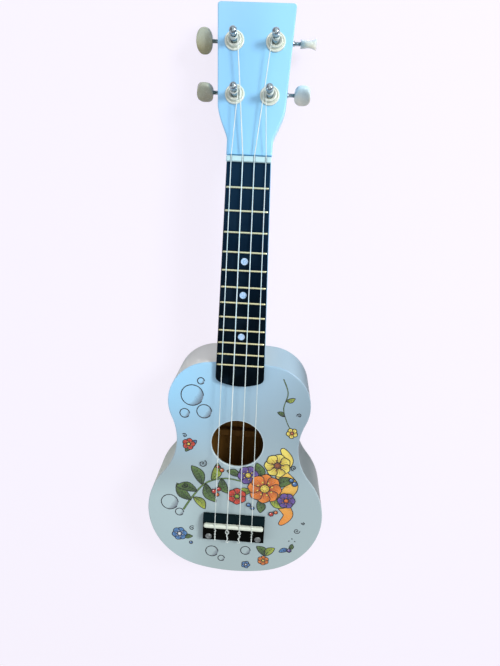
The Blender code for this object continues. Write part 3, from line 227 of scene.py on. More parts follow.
# Lacquer: white, under painted light and shade. A painted sky reflection runs along the instrument, and each
# painted light, shade and highlight tint and the painted wall shading fade in by place.
lacquer = {
    # painted sky reflection along the instrument: grey-green over the body, blue over the head, greyer at the
    # head's end
    "paintedReflectionAlong": (
        (-0.065, rgb(167, 187, 186)),
        (0.030, rgb(158, 178, 181)),
        (0.060, rgb(156, 177, 182)),
        (0.120, rgb(152, 178, 191)),
        (0.175, rgb(150, 186, 208)),
        (0.330, rgb(126, 190, 232)),
        (0.430, rgb(119, 181, 229)),
        (0.470, rgb(132, 186, 216)),
    ),
    # painted light and shade: a painted sky reflection at the upper left, painted light at the lower left,
    # painted shade on the treble side of the body, painted light on the treble side of the head
    "paintedLightTints": (  # colour, its greatest share, fade across, fades along
        (rgb(154, 216, 250), 0.9, (0.03, -0.075), (0.05, 0.16)),
        (rgb(176, 200, 202), 0.8, (-0.015, -0.06), (0.055, 0.02)),
        (rgb(122, 142, 150), 0.6, (0.015, 0.075), (0.04, 0.10), (0.20, 0.15)),
        (rgb(139, 203, 238), 1.0, (-0.02, 0.02), (0.335, 0.36)),
    ),
    "holeY": 89.3 * mm,
    # painted highlight on the rounded edge of the sound hole
    "rim": rgb(208, 228, 232),
    "rimReach": (26.1 * mm, 25.25 * mm, 0.0, 0.75),
    "cloud": rgb(205, 220, 224),
    "cloudShare": 0.03,
    # painted wall shading: painted light on the bass wall, paler towards the shoulder; painted shade on the
    # treble wall, with a painted bluish reflection towards the shoulder
    "leftWallPaintedLight": (
        rgb(186, 196, 180),
        ((0.13, 0.185), rgb(208, 206, 186)),
        ((0.15, 0.172), rgb(224, 221, 205)),
    ),
    "rightWallPaintedShade": (
        rgb(150, 151, 146),
        ((0.0, 0.06), rgb(86, 96, 92)),
        ((0.13, 0.185), rgb(134, 164, 180)),
        ((0.15, 0.172), rgb(154, 181, 190)),
    ),
    "leftToRight": (-0.03, 0.045),
    "wallTop": (0.0555, 0.0535),
    "wallEnd": (0.25, 0.20),
    "wallShare": 0.85,
    "smudge": (0.35, 0.75, 0.3, 0.34),
    "bareRoughness": 0.5,
    "wallRoughness": 0.25,
    "coat": 0.45,
    "peel": 0.035 * mm,
    "peelStrength": 0.35,
}
bareWood = {
    "dark": rgb(94, 64, 24),
    "light": rgb(138, 98, 42),
    "grain": (260.0, 9.0, 260.0),
    "bands": (40.0, 4.0, 40.0),
}


# Painted light and shade along a side wall.
def paintedWallShade(along, tones):
    colour = tones[0]
    for reach, tone in tones[1:]:
        colour = along.spread(*reach).blend(colour, tone)
    return colour


def lacquerColour(finish):
    place = finish.place()
    across, along, height = [place.part(axis) for axis in range(3)]
    paintedLitColour = finish.rampAlong(lacquer["paintedReflectionAlong"])
    for colour, most, acrossReach, *alongReaches in lacquer["paintedLightTints"]:
        share = across.spread(*acrossReach, 0.0, most)
        for reach in alongReaches:
            share = share * along.spread(*reach)
        paintedLitColour = share.blend(paintedLitColour, colour)
    # a painted highlight rings the sound hole
    fromHole = (across ** 2 + (along - lacquer["holeY"]) ** 2) ** 0.5
    paintedLitColour = fromHole.spread(*lacquer["rimReach"]).blend(paintedLitColour, lacquer["rim"])
    front = (finish.noise(place, 9.0, 2.0) * lacquer["cloudShare"]).blend(paintedLitColour, lacquer["cloud"])
    # painted light on the bass wall, painted shade on the treble wall
    left, right = paintedWallShade(along, lacquer["leftWallPaintedLight"]), paintedWallShade(along, lacquer["rightWallPaintedShade"])
    wall = across.spread(*lacquer["leftToRight"]).blend(left, right)
    below = height.spread(*lacquer["wallTop"]) * along.spread(*lacquer["wallEnd"])
    return (below * lacquer["wallShare"]).blend(front, wall), below


def woodColour(finish):
    grain = finish.noise(finish.mapped(bareWood["grain"]), 1.0, 5.0, 0.65, 0.4)
    wide = finish.noise(finish.mapped(bareWood["bands"]), 1.0, 2.0)
    tone = (grain * 0.6 + wide * 0.4).spread(0.3, 0.7)
    return tone.blend(bareWood["dark"], bareWood["light"]), grain


def makeLacquer():
    finish = Finish("whiteLacquer", {"Coat Roughness": 0.2, "IOR": 1.5, "Specular IOR Level": 0.25})
    bare = finish.attribute("bare", "Fac")
    wood, grain = woodColour(finish)
    painted, below = lacquerColour(finish)
    finish.feed("Base Color", bare.blend(painted, wood))
    worn = finish.noise(finish.place(), 38.0, 4.0, 0.62).spread(*lacquer["smudge"])
    finish.feed("Roughness", worn + bare * lacquer["bareRoughness"] + below * lacquer["wallRoughness"])
    finish.feed("Coat Weight", (1 - bare) * (1 - below) * lacquer["coat"])
    peel = finish.noise(finish.place(), 420.0, 2.0)
    finish.bump(peel * (1 - bare) + grain * bare * 2.0, lacquer["peel"], lacquer["peelStrength"])
    return finish.material


def makeBareWood():
    finish = Finish("bareWood", {"Specular IOR Level": 0.25})
    wood, grain = woodColour(finish)
    finish.feed("Base Color", wood)
    finish.feed("Roughness", grain.spread(0.2, 0.8, 0.7, 0.9))
    finish.bump(grain, 0.12 * mm)
    return finish.material


# Fretboard: black, with a painted bluish reflection that grows towards the nut, and random worn patches.
board = {
    "stops": (
        (0.165, rgb(1, 7, 13)),
        (0.23, rgb(2, 15, 27)),
        (0.28, rgb(3, 25, 44)),
        (0.345, rgb(15, 43, 66)),
    ),
    "pores": (900.0, 30.0, 900.0),
    "worn": rgb(28, 50, 66),
}


def makeBoardBlack():
    finish = Finish("boardBlack", {"Specular IOR Level": 0.03})
    streaks = finish.noise(finish.mapped(board["pores"]), 1.0, 4.0, 0.6)
    worn = finish.noise(finish.place(), 60.0, 3.0).spread(0.45, 0.75, 0.0, 0.25)
    share = worn + streaks.spread(0.5, 0.8, 0.0, 0.15)
    # painted reflection along the neck, under random worn patches
    finish.feed("Base Color", share.blend(finish.rampAlong(board["stops"]), board["worn"]))
    finish.feed("Roughness", streaks.spread(0.3, 0.7, 0.4, 0.56))
    finish.bump(streaks, 0.06 * mm)
    return finish.material


# Bridge: black on top, with a painted teal sheen on its slope towards the neck.
bridgeInk = {
    "top": rgb(5, 7, 5),
    "slope": rgb(9, 26, 30),
    "sheenReach": (0.0, 0.003),
    "pores": (60.0, 700.0, 700.0),
}


def makeBridgeBlack():
    finish = Finish("bridgeBlack", {"Specular IOR Level": 0.03})
    # painted sheen on the slope towards the neck
    slope = finish.place().part(1).spread(*bridgeInk["sheenReach"])
    finish.feed("Base Color", slope.blend(bridgeInk["top"], bridgeInk["slope"]))
    grain = finish.noise(finish.mapped(bridgeInk["pores"]), 1.0, 4.0, 0.6)
    finish.feed("Roughness", grain.spread(0.3, 0.7, 0.34, 0.5))
    finish.bump(grain, 0.05 * mm)
    return finish.material


def feedPlastic(finish, colour, roughness, grain):
    finish.feed("Base Color", colour)
    scuffs = finish.noise(finish.mapped((900.0, 260.0, 900.0)), 1.0, 5.0, 0.7)
    finish.feed("Roughness", scuffs.spread(0.4, 0.75, roughness, roughness + 0.16))
    finish.bump(finish.noise(finish.place(), 1400.0, 3.0), grain)
    return finish.material


def makePlastic(name, base, spot, roughness, coat=0.0):
    finish = Finish(name, {"Coat Weight": coat, "Coat Roughness": 0.08, "IOR": 1.49})
    mottle = finish.noise(finish.place(), 120.0, 4.0, 0.6).spread(0.35, 0.75)
    return feedPlastic(finish, mottle.blend(base, spot), roughness, 0.004 * mm)


# Knobs: cream plastic, with a painted bluish highlight on the side towards the end of the head and painted
# shade on the bass side
knobCream = {
    "bass": (rgb(150, 147, 112), rgb(160, 170, 154)),
    "treble": (rgb(202, 202, 178), rgb(186, 220, 234)),
    "grime": rgb(120, 112, 84),
    "start": 0.379,
    "spacing": 0.0392,
    "headEndSheen": (0.012, 0.027),
    "grain": 0.008 * mm,
}


def makeKnobPlastic():
    finish = Finish("creamPlastic", {"Coat Weight": 0.5, "Coat Roughness": 0.08, "IOR": 1.49})
    place = finish.place()
    # painted highlight on each knob's side towards the head's end, and painted shade on the bass knobs
    headEndSheen = ((place.part(1) - knobCream["start"]) % knobCream["spacing"]).spread(*knobCream["headEndSheen"])
    bass, treble = headEndSheen.blend(*knobCream["bass"]), headEndSheen.blend(*knobCream["treble"])
    mottle = finish.noise(place, 120.0, 4.0, 0.6).spread(0.35, 0.75, 0.0, 0.12)
    colour = mottle.blend(place.part(0).spread(-0.01, 0.01).blend(bass, treble), knobCream["grime"])
    return feedPlastic(finish, colour, 0.2, knobCream["grain"])


def feedMetal(finish, base, dull, tarnish, lines, worn):
    share = finish.noise(finish.place(), 210.0, 4.0, 0.6).spread(*tarnish)
    finish.feed("Base Color", share.blend(base, dull))
    scratches = finish.noise(finish.mapped([1500.0 * line for line in lines]), 1.0, 3.0, 0.7)
    finish.feed("Roughness", scratches.spread(0.35, 0.8, *worn))
    finish.bump(scratches, 0.015 * mm, 0.5)
    return finish.material


def makeMetal(name, base, dull, roughness, lines=(1.0, 1.0, 1.0)):
    finish = Finish(name, {"Metallic": 1.0})
    return feedMetal(finish, base, dull, (0.4, 0.8), lines, (roughness, roughness + 0.14))


frets = {
    "nutEnd": rgb(214, 226, 196),
    "bodyEnd": rgb(234, 232, 184),
    "along": (0.19, 0.33),
    "dull": rgb(180, 180, 132),
    "dark": rgb(70, 76, 58),
    # painted shade on the fret's flanks below this height
    "flank": (61.05 * mm, 61.35 * mm),
}


def makeFretMetal():
    finish = Finish("fretBrass", {"Metallic": 1.0})
    place = finish.place()
    pale = place.part(1).spread(*frets["along"]).blend(frets["bodyEnd"], frets["nutEnd"])
    # painted shade on the fret's flanks, so that only its crown is bright
    pale = place.part(2).spread(*frets["flank"]).blend(frets["dark"], pale)
    return feedMetal(finish, pale, frets["dull"], (0.5, 0.85, 0.0, 0.45), (1.0, 0.1, 1.0), (0.24, 0.4))


pearlStops = (
    (0.30, rgb(120, 164, 205)),
    (0.48, rgb(158, 202, 240)),
    (0.60, rgb(196, 214, 236)),
    (0.78, rgb(150, 190, 214)),
)


def makePearl():
    finish = Finish("pearlDot", {"Coat Weight": 0.8, "Coat Roughness": 0.05})
    swirl = finish.noise(finish.place(), 260.0, 3.0, 0.5, 2.2)
    finish.feed("Base Color", finish.ramp(swirl, pearlStops))
    finish.feed("Roughness", swirl.spread(0.3, 0.7, 0.14, 0.3))
    finish.bump(swirl, 0.04 * mm)
    return finish.material


# Strings: a painted bluish light over the neck makes them bluer there than over the body and the head.
nylon = {
    "dark": (rgb(198, 214, 208), rgb(208, 242, 250)),
    "light": (rgb(222, 232, 226), rgb(230, 250, 255)),
    "neckStart": (0.12, 0.22),
    "neckEnd": (0.352, 0.342),
}


def makeNylon():
    finish = Finish("nylonString", {"IOR": 1.53, "Specular IOR Level": 0.3})
    cloud = finish.noise(finish.place(), 90.0, 3.0)
    along = finish.place().part(1)
    # painted bluish light over the neck
    neckSheen = along.spread(*nylon["neckStart"]) * along.spread(*nylon["neckEnd"])
    dark, light = neckSheen.blend(*nylon["dark"]), neckSheen.blend(*nylon["light"])
    finish.feed("Base Color", cloud.spread(0.3, 0.7).blend(dark, light))
    finish.feed("Roughness", cloud.spread(0.3, 0.7, 0.3, 0.42))
    return finish.material


finishes = {
    "lacquered_wood": makeLacquer(),
    "bare_wood": makeBareWood(),
    "fretboard_black": makeBoardBlack(),
    "fret_brass": makeFretMetal(),
    "dot_pearl": makePearl(),
    "ivory_plastic": makePlastic("ivoryPlastic", rgb(212, 222, 206), rgb(205, 216, 199), 0.34),
    "bridge_black": makeBridgeBlack(),
    "nickel_plate": makeMetal("nickelPlate", rgb(164, 182, 188), rgb(128, 142, 146), 0.16),
    "nylon": makeNylon(),
    "cream_plastic": makeKnobPlastic(),
    "gear_brass": makeMetal("gearBrass", rgb(206, 170, 96), rgb(160, 124, 62), 0.26, (0.2, 1.0, 1.0)),
}
slotOf = {entry["node"]: entry["material_slot"] for entry in frame["record"]["subparts"]}
for node, obj in nodes.items():
    obj.data.materials.clear()
    obj.data.materials.append(finishes[slotOf[node]])
print("finishes made:", len(finishes))


# Rings of points are joined into a skin, and each finished mesh becomes a piece on its body.
def loft(build, rings, closed=False, capped=True):
    made = [[build.verts.new(point) for point in ring] for ring in rings]
    count = len(made[0])
    pairs = list(zip(made, made[1:]))
    if closed:
        pairs.append((made[-1], made[0]))
    elif capped:
        build.faces.new(made[0])
        build.faces.new(made[-1])
    for low, high in pairs:
        for i in range(count):
            j = (i + 1) % count
            build.faces.new((low[i], low[j], high[j], high[i]))
    return made


def inMm(rows):
    return [tuple(value * mm for value in row) for row in rows]


def meshFrom(name, build):
    mesh = bpy.data.meshes.new(name)
    build.to_mesh(mesh)
    build.free()
    return mesh


def dress(name, mesh, replaced, sharp=35.0, slot=None, body=None, finish=None):
    mesh.shade_smooth()
    mesh.set_sharp_from_angle(angle=math.radians(sharp))
    piece = addObject(name, mesh)
    slot = slot or slotOf[replaced[0]]
    mesh.materials.clear()
    mesh.materials.append(finish or finishes[slot])
    if replaced:
        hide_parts(*replaced)
    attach(piece, body or bodyOf[replaced[0]])
    return piece


def addPiece(name, build, replaced, *choices, **named):
    bmesh.ops.recalc_face_normals(build, faces=build.faces)
    dress(name, meshFrom(name, build), replaced, *choices, **named)


def addFine(node, build, sharp=40.0, finish=None):
    addPiece("fine_" + node, build, [node], sharp, finish=finish)


def addSkin(node, rings, sharp=40.0, finish=None, closed=False):
    build = bmesh.new()
    loft(build, rings, closed)
    addFine(node, build, sharp, finish)


def softCopy(node, edge, sharp=35.0, finish=None):
    build = bmesh.new()
    build.from_mesh(nodes[node].data)
    bmesh.ops.remove_doubles(build, verts=build.verts, dist=0.002 * mm)
    flat = math.radians(1.0)
    bmesh.ops.dissolve_limit(build, angle_limit=flat, verts=build.verts, edges=build.edges)
    piece = dress("soft_" + node, meshFrom("soft_" + node, build), [node], sharp, finish=finish)
    if edge:
        rounding = piece.modifiers.new("rounding", "BEVEL")
        rounding.width = edge
        rounding.segments = 3
        rounding.limit_method = "ANGLE"
        rounding.angle_limit = math.radians(sharp)
        rounding.harden_normals = True


# Body, on the model's five tangent arcs but with finer steps
body = {
    "tailY": -63.1 * mm,
    "lowerHalf": 88.3 * mm,
    "lowerY": 8.3 * mm,
    "lowerRadius": 69.4 * mm,
    "waistRadius": 59.4 * mm,
    "upperHalf": 67.2 * mm,
    "upperY": 130.5 * mm,
    "upperRadius": 41.2 * mm,
    "endY": 173.0 * mm,
    "depth": 56.0 * mm,
    "board": 2.0 * mm,
    "edge": 1.2 * mm,
    "sideWall": 1.8 * mm,
    "lining": 4.5 * mm,
    "liningFull": 4.0 * mm,
    "liningGone": 9.0 * mm,
    "holeRadius": 25.0 * mm,
    "holeEdge": 0.35 * mm,
    "holeSteps": 96,
    "softEdge": 0.5 * mm,
    "flat": 0.9,  # least height of an inner face's normal
    "arcSteps": (14, 44, 26, 30, 14),
}


def holdingRadius(centre, radius, height):
    return (centre.x**2 + height**2 - radius**2) / (2 * (height - radius))


def heading(start, end):
    return math.atan2(end.y - start.y, end.x - start.x)


def outlineStations():
    lower = Vector((body["lowerHalf"] - body["lowerRadius"], body["lowerY"]))
    upper = Vector((body["upperHalf"] - body["upperRadius"], body["upperY"]))
    tailRadius = holdingRadius(lower, body["lowerRadius"], lower.y - body["tailY"])
    endRadius = holdingRadius(upper, body["upperRadius"], body["endY"] - upper.y)
    tail = Vector((0.0, body["tailY"] + tailRadius))
    end = Vector((0.0, body["endY"] - endRadius))
    along = upper - lower
    lowerReach = body["lowerRadius"] + body["waistRadius"]
    upperReach = body["upperRadius"] + body["waistRadius"]
    share = (along.length**2 + lowerReach**2 - upperReach**2) / (2 * along.length)
    out = math.sqrt(lowerReach**2 - share**2)
    along.normalize()
    waist = lower + along * share + Vector((along.y, -along.x)) * out
    toTail, toWaist = heading(tail, lower), heading(lower, waist)
    fromWaist, toEnd = heading(upper, waist), heading(end, upper)
    arcs = (
        (tail, tailRadius, 1, -math.pi / 2, toTail),
        (lower, body["lowerRadius"], 1, toTail, toWaist),
        (waist, body["waistRadius"], -1, toWaist + math.pi, fromWaist + math.pi),
        (upper, body["upperRadius"], 1, fromWaist, toEnd),
        (end, endRadius, 1, toEnd, math.pi / 2),
    )
    stations = []
    for (centre, radius, side, begin, finish), steps in zip(arcs, body["arcSteps"]):
        for i in range(1 if stations else 0, steps + 1):
            stations.append((centre, radius, side, lerp(begin, finish, i / steps)))
    return stations


def atInset(station, inset):
    centre, radius, side, angle = station
    return centre + (radius - side * inset) * Vector((math.cos(angle), math.sin(angle)))


def wholeOutline(inset):
    right = [atInset(station, inset) for station in outlineStations()]
    return right + [Vector((-point.x, point.y)) for point in reversed(right[1:-1])]


def circle(centreX, centreY, radius, count, z):
    turns = [2 * math.pi * i / count for i in range(count)]
    return [Vector((centreX + radius * math.cos(t), centreY + radius * math.sin(t), z)) for t in turns]


def loopEdges(ring):
    return [(ring[i], ring[(i + 1) % len(ring)]) for i in range(len(ring))]


def fillBetween(build, *loops):
    edges = [build.edges.get(pair) or build.edges.new(pair) for loop in loops for pair in loopEdges(loop)]
    bmesh.ops.triangle_fill(build, use_beauty=True, use_dissolve=False, edges=edges)


def plateRings(low, high, roundedTop):
    edge = body["edge"]
    turns = [math.radians(15.0 * i) for i in range(7)]
    rounded = [(edge * (1 - math.cos(t)), edge * (1 - math.sin(t))) for t in turns]
    if roundedTop:
        levels = [(0.0, low)] + [(inset, high - drop) for inset, drop in rounded]
    else:
        levels = [(inset, low + drop) for inset, drop in reversed(rounded)] + [(0.0, high)]
    return [[Vector((p.x, p.y, z)) for p in wholeOutline(inset)] for inset, z in levels]


def markBare(build, isBare):
    layer = build.faces.layers.float.new("bare")
    build.normal_update()
    for face in build.faces:
        face[layer] = 1.0 if isBare(face) else 0.0


def addSoundboard():
    low, high = body["depth"] - body["board"], body["depth"]
    build = bmesh.new()
    made = loft(build, plateRings(low, high, True), capped=False)
    edge = body["holeEdge"]
    turns = [math.radians(30.0 * i) for i in range(4)]
    levels = [(0.0, low)] + [(edge * (1 - math.cos(t)), high - edge + edge * math.sin(t)) for t in turns]
    radius, steps = body["holeRadius"], body["holeSteps"]
    hole = [circle(0.0, lacquer["holeY"], radius + out, steps, z) for out, z in levels]
    wall = loft(build, hole, capped=False)
    fillBetween(build, made[-1], wall[-1])
    fillBetween(build, made[0], wall[0])
    bmesh.ops.recalc_face_normals(build, faces=build.faces)
    markBare(build, lambda face: face.normal.z < -body["flat"])
    addFine("soundboard", build)


def addBack():
    build = bmesh.new()
    loft(build, plateRings(0.0, body["board"], False))
    bmesh.ops.recalc_face_normals(build, faces=build.faces)
    markBare(build, lambda face: face.normal.z > body["flat"])
    addPiece("fine_back", build, ["back_plate"], 40.0)


def addSide(node, hand):
    low, high = body["board"], body["depth"] - body["board"]
    thin, thick = body["sideWall"], body["sideWall"] + body["lining"]
    full, gone = body["liningFull"], body["liningGone"]
    profile = ((0.0, low), (0.0, high), (thick, high), (thick, high - full))
    profile += ((thin, high - gone), (thin, low + gone), (thick, low + full), (thick, low))
    build = bmesh.new()
    rings = []
    for station in outlineStations():
        places = [(atInset(station, inset), z) for inset, z in profile]
        rings.append([Vector((hand * max(0.0, p.x), p.y, z)) for p, z in places])
    made = loft(build, rings)
    bmesh.ops.recalc_face_normals(build, faces=build.faces)
    outer = {vert for ring in made for vert in ring[:2]}
    markBare(build, lambda face: not all(vert in outer for vert in face.verts))
    addFine(node, build)


addSoundboard()
addBack()
addSide("side_bass", -1)
addSide("side_treble", 1)
for node in ("neck_block", "tail_block", "top_brace_upper", "top_brace_lower", "back_brace", "bridge_patch"):
    softCopy(node, body["softEdge"])
print("body built")


# Neck and head
neck = {
    "nutHalf": 17.7 * mm,
    "bodyHalf": 22.2 * mm,
    "depthAtNut": 12.5 * mm,
    "depthAtHeel": 14.5 * mm,
    "fullness": 2.3,
    "edge": 0.5 * mm,
    "heelLength": 42.0 * mm,
    "heelCapZ": 4.0 * mm,
    "heelOverreach": 16.0 * mm,
    "heelFullness": 1.55,
    "heelSweep": 2.6,
    "topZ": 56.0 * mm,
    "nutY": 345.0 * mm,
    "nutLength": 4.5 * mm,
    "headGap": 0.3 * mm,
    "tilt": math.radians(13.0),
    "headLength": 115.5 * mm,
    "headThickness": 11.5 * mm,
    "headStep": 2.5 * mm,
    "headFullness": 17.0,
    "throatHalf": 18.2 * mm,
    "shoulderHalf": 27.0 * mm,
    "tipHalf": 30.8 * mm,
    "flareStart": 12.0 * mm,
    "flareEnd": 41.0 * mm,
    "corner": 1.8 * mm,
    "headEdge": 1.2 * mm,
    "halfSteps": 36,
}
nutRearY = neck["nutY"] + neck["nutLength"]
headStart = Vector((0.0, nutRearY + neck["headGap"], neck["topZ"] + neck["headStep"]))
headAlong = Vector((0.0, math.cos(neck["tilt"]), -math.sin(neck["tilt"])))
headNormal = Vector((0.0, math.sin(neck["tilt"]), math.cos(neck["tilt"])))


def headPoint(x, along, normal):
    return Vector((x, 0.0, 0.0)) + headStart + headAlong * along + headNormal * normal


def neckHalf(y):
    share = (nutRearY - y) / (nutRearY - body["endY"])
    return lerp(neck["nutHalf"], neck["bodyHalf"], share)


def headHalf(along):
    start, end, length = neck["flareStart"], neck["flareEnd"], neck["headLength"]
    if along < end:
        share = max(0.0, (along - start) / (end - start))
        share = share**1.5 * (2.5 - 1.5 * share)
        return lerp(neck["throatHalf"], neck["shoulderHalf"], share)
    half = lerp(neck["shoulderHalf"], neck["tipHalf"], (along - end) / (length - end))
    corner = neck["corner"]
    intoCorner = max(0.0, along - (length - corner))
    return half - corner + math.sqrt(corner**2 - intoCorner**2)


def neckRing(half, depth, fullness, edge, place, floor=None):
    steps = neck["halfSteps"]
    ring = []
    for i in range(5):
        turn = math.radians(90.0 - 22.5 * i)
        ring.append(place(half - edge + edge * math.cos(turn), edge * (1 - math.sin(turn))))
    for i in range(1, steps):
        angle = math.pi * i / steps
        across = math.copysign(abs(math.cos(angle)) ** (2 / fullness), math.cos(angle))
        ring.append(place(half * across, edge + (depth - edge) * math.sin(angle) ** (2 / fullness)))
    for i in range(5):
        turn = math.radians(22.5 * i)
        ring.append(place(edge - half - edge * math.cos(turn), edge * (1 - math.sin(turn))))
    if floor is not None:
        for point in ring:
            point.z = max(point.z, floor)
    return ring


def onNeck(y):
    return lambda x, down: Vector((x, y, neck["topZ"] - down))


def heelRing(y):
    share = min(1.0, max(0.0, (y - body["endY"]) / neck["heelLength"]))
    rise = (1 - share) ** neck["heelSweep"]
    deepest = neck["topZ"] - neck["heelCapZ"] + neck["heelOverreach"]
    depth = lerp(neck["depthAtHeel"], deepest, rise)
    fullness = lerp(neck["fullness"], neck["heelFullness"], rise)
    return neckRing(neckHalf(y), depth, fullness, neck["edge"], onNeck(y), neck["heelCapZ"])


def shaftRing(y, depth):
    return neckRing(neckHalf(y), depth, neck["fullness"], neck["edge"], onNeck(y))


def slotEnd(x, down):
    return Vector((x, headStart.y - down * math.sin(neck["tilt"] / 2), neck["topZ"] - down))


def headRing(along):
    share = min(1.0, along / neck["flareStart"])
    depth = lerp(neck["depthAtNut"] + neck["headStep"], neck["headThickness"], share)
    fullness = lerp(neck["fullness"], neck["headFullness"], share**2)
    place = lambda x, down: headPoint(x, along, -down)
    return neckRing(headHalf(along), depth, fullness, neck["headEdge"], place)


def addNeck():
    heelEnd = body["endY"] + neck["heelLength"]
    rings = [heelRing(body["endY"] - 1.5 * mm)]
    rings += [heelRing(body["endY"] + neck["heelLength"] * (i / 24) ** 1.3) for i in range(25)]
    for i in range(1, 13):
        depth = lerp(neck["depthAtHeel"], neck["depthAtNut"], i / 12)
        rings.append(shaftRing(lerp(heelEnd, neck["nutY"], i / 12), depth))
    rings.append(neckRing(neck["nutHalf"], neck["depthAtNut"], neck["fullness"], neck["edge"], slotEnd))
    stations = [0.4 * neck["headStep"], 0.25 * neck["flareStart"], 0.5 * neck["flareStart"]]
    stations += [lerp(neck["flareStart"], neck["flareEnd"], i / 20) for i in range(21)]
    corner = neck["headLength"] - neck["corner"]
    stations += [lerp(neck["flareEnd"], corner, i / 4) for i in range(1, 5)]
    stations += [corner + neck["corner"] * math.sin(math.radians(a)) for a in (15, 30, 45, 60, 75, 84, 89)]
    rings += [headRing(along) for along in stations]
    addSkin("neck", rings, 50.0)


addNeck()
print("neck built")


# One node tree for everything repeated: a unit mesh on points that carry their own turn and stretch.
def socketOf(sockets, key):
    if isinstance(key, int):
        return sockets[key]
    return next(socket for socket in sockets if socket.enabled and socket.name == key)


scatterInputs = {
    "Points": "Geometry",
    "Unit": "Object",
    "Finish": "Material",
    "Jitter": "Float",
    "Seed": "Int",
}
scatterNodes = {
    "in": "NodeGroupInput",
    "out": "NodeGroupOutput",
    "unit": "GeometryNodeObjectInfo",
    "turn": "GeometryNodeInputNamedAttribute",
    "stretch": "GeometryNodeInputNamedAttribute",
    "random": "FunctionNodeRandomValue",
    "scale": "ShaderNodeVectorMath",
    "place": "GeometryNodeInstanceOnPoints",
    "real": "GeometryNodeRealizeInstances",
    "coat": "GeometryNodeSetMaterial",
    "less": "ShaderNodeMath",
}
scatterLinks = (
    ("in", "Points", "place", "Points"),
    ("in", "Unit", "unit", "Object"),
    ("in", "Jitter", "less", 1),
    ("less", 0, "random", "Min"),
    ("in", "Seed", "random", "Seed"),
    ("unit", "Geometry", "place", "Instance"),
    ("turn", "Attribute", "place", "Rotation"),
    ("stretch", "Attribute", "scale", 0),
    ("random", "Value", "scale", "Scale"),
    ("scale", "Vector", "place", "Scale"),
    ("place", "Instances", "real", "Geometry"),
    ("real", "Geometry", "coat", "Geometry"),
    ("in", "Finish", "coat", "Material"),
    ("coat", "Geometry", "out", "Result"),
)


def makeScatterTree():
    tree = bpy.data.node_groups.new("scatterUnits", "GeometryNodeTree")
    sockets = {}
    for name, kind in scatterInputs.items():
        entry = tree.interface.new_socket(name=name, in_out="INPUT", socket_type="NodeSocket" + kind)
        sockets[name] = entry.identifier
    tree.interface.new_socket(name="Result", in_out="OUTPUT", socket_type="NodeSocketGeometry")
    made = {key: tree.nodes.new(kind) for key, kind in scatterNodes.items()}
    for key in ("turn", "stretch"):
        made[key].data_type = "FLOAT_VECTOR"
        made[key].inputs["Name"].default_value = key
    made["scale"].operation = "SCALE"
    made["less"].operation = "SUBTRACT"
    made["less"].inputs[0].default_value = 1.0
    made["random"].data_type = "FLOAT"
    for start, output, end, entry in scatterLinks:
        tree.links.new(socketOf(made[start].outputs, output), socketOf(made[end].inputs, entry))
    return tree, sockets


scatterTree, scatterSockets = makeScatterTree()


def scatter(name, unit, places, finish, jitter=0.0, seed=1):
    points = bpy.data.meshes.new(name + "_points")
    points.from_pydata([place for place, _, _ in places], [], [])
    for index, key in ((1, "turn"), (2, "stretch")):
        layer = points.attributes.new(key, "FLOAT_VECTOR", "POINT")
        layer.data.foreach_set("vector", [value for place in places for value in place[index]])
    holder = addObject(name + "_points", points)
    maker = addObject(name + "_unit", unit)
    growing = holder.modifiers.new("scatter", "NODES")
    growing.node_group = scatterTree
    for key, value in (("Unit", maker), ("Finish", finish), ("Jitter", jitter), ("Seed", seed)):
        growing[scatterSockets[key]] = value
    bpy.context.view_layer.update()
    evaluated = holder.evaluated_get(bpy.context.evaluated_depsgraph_get())
    mesh = bpy.data.meshes.new_from_object(evaluated)
    mesh.name = name
    for spare in (holder, maker):
        bpy.data.objects.remove(spare)
    return mesh


# Fretboard, frets and nut
fretting = {
    "topZ": 60.5 * mm,
    "scale": 345.0 * mm,
    "count": 12,
    "nutHalf": 17.36 * mm,
    "twelfthHalf": 21.72 * mm,
    "inset": 0.3 * mm,
    "width": 1.9 * mm,
    "height": 1.05 * mm,
    "dotFrets": (5, 7, 10),
    "dot": ((3.0, -1.1), (3.0, -0.08), (2.93, 0.0), (2.0, 0.02)),  # radius and height in millimetres
    "dotSteps": 56,
    "edge": 0.35 * mm,
}


def fretY(number):
    return fretting["scale"] * 2 ** (-number / 12)


def fretboardHalf(y):
    share = (fretting["scale"] - y) / (fretting["scale"] - fretY(12))
    return lerp(fretting["nutHalf"], fretting["twelfthHalf"], share)


def makeFretUnit():
    build = bmesh.new()
    rings = []
    for share in (0.0, 0.006, 0.016, 0.03, 0.06, 0.5, 0.94, 0.97, 0.984, 0.994, 1.0):
        fromEnd = min(share, 1 - share) / 0.03
        ease = min(1.0, 0.25 + 0.75 * fromEnd**0.5) if fromEnd < 1 else 1.0
        ring = []
        for i in range(17):
            angle = math.pi * i / 16
            y = fretting["width"] / 2 * math.cos(angle) * lerp(0.75, 1.0, ease)
            ring.append(Vector((2 * share - 1, y, fretting["height"] * ease * math.sin(angle) ** 0.8)))
        rings.append(ring)
    loft(build, rings)
    bmesh.ops.recalc_face_normals(build, faces=build.faces)
    return meshFrom("fret_unit", build)


def addFrets():
    places = []
    for number in range(1, fretting["count"] + 1):
        half = fretboardHalf(fretY(number)) - fretting["inset"]
        places.append(((0.0, fretY(number), fretting["topZ"]), (0.0, 0.0, 0.0), (half, 1.0, 1.0)))
    mesh = scatter("frets", makeFretUnit(), places, finishes["fret_brass"])
    dress("frets", mesh, ["fret_%02d" % i for i in range(1, fretting["count"] + 1)], 50.0)


def turnedRings(profile, count, matrix):
    turns = [2 * math.pi * i / count for i in range(count)]
    return [[matrix @ Vector((r * math.cos(t), r * math.sin(t), z)) for t in turns] for r, z in profile]


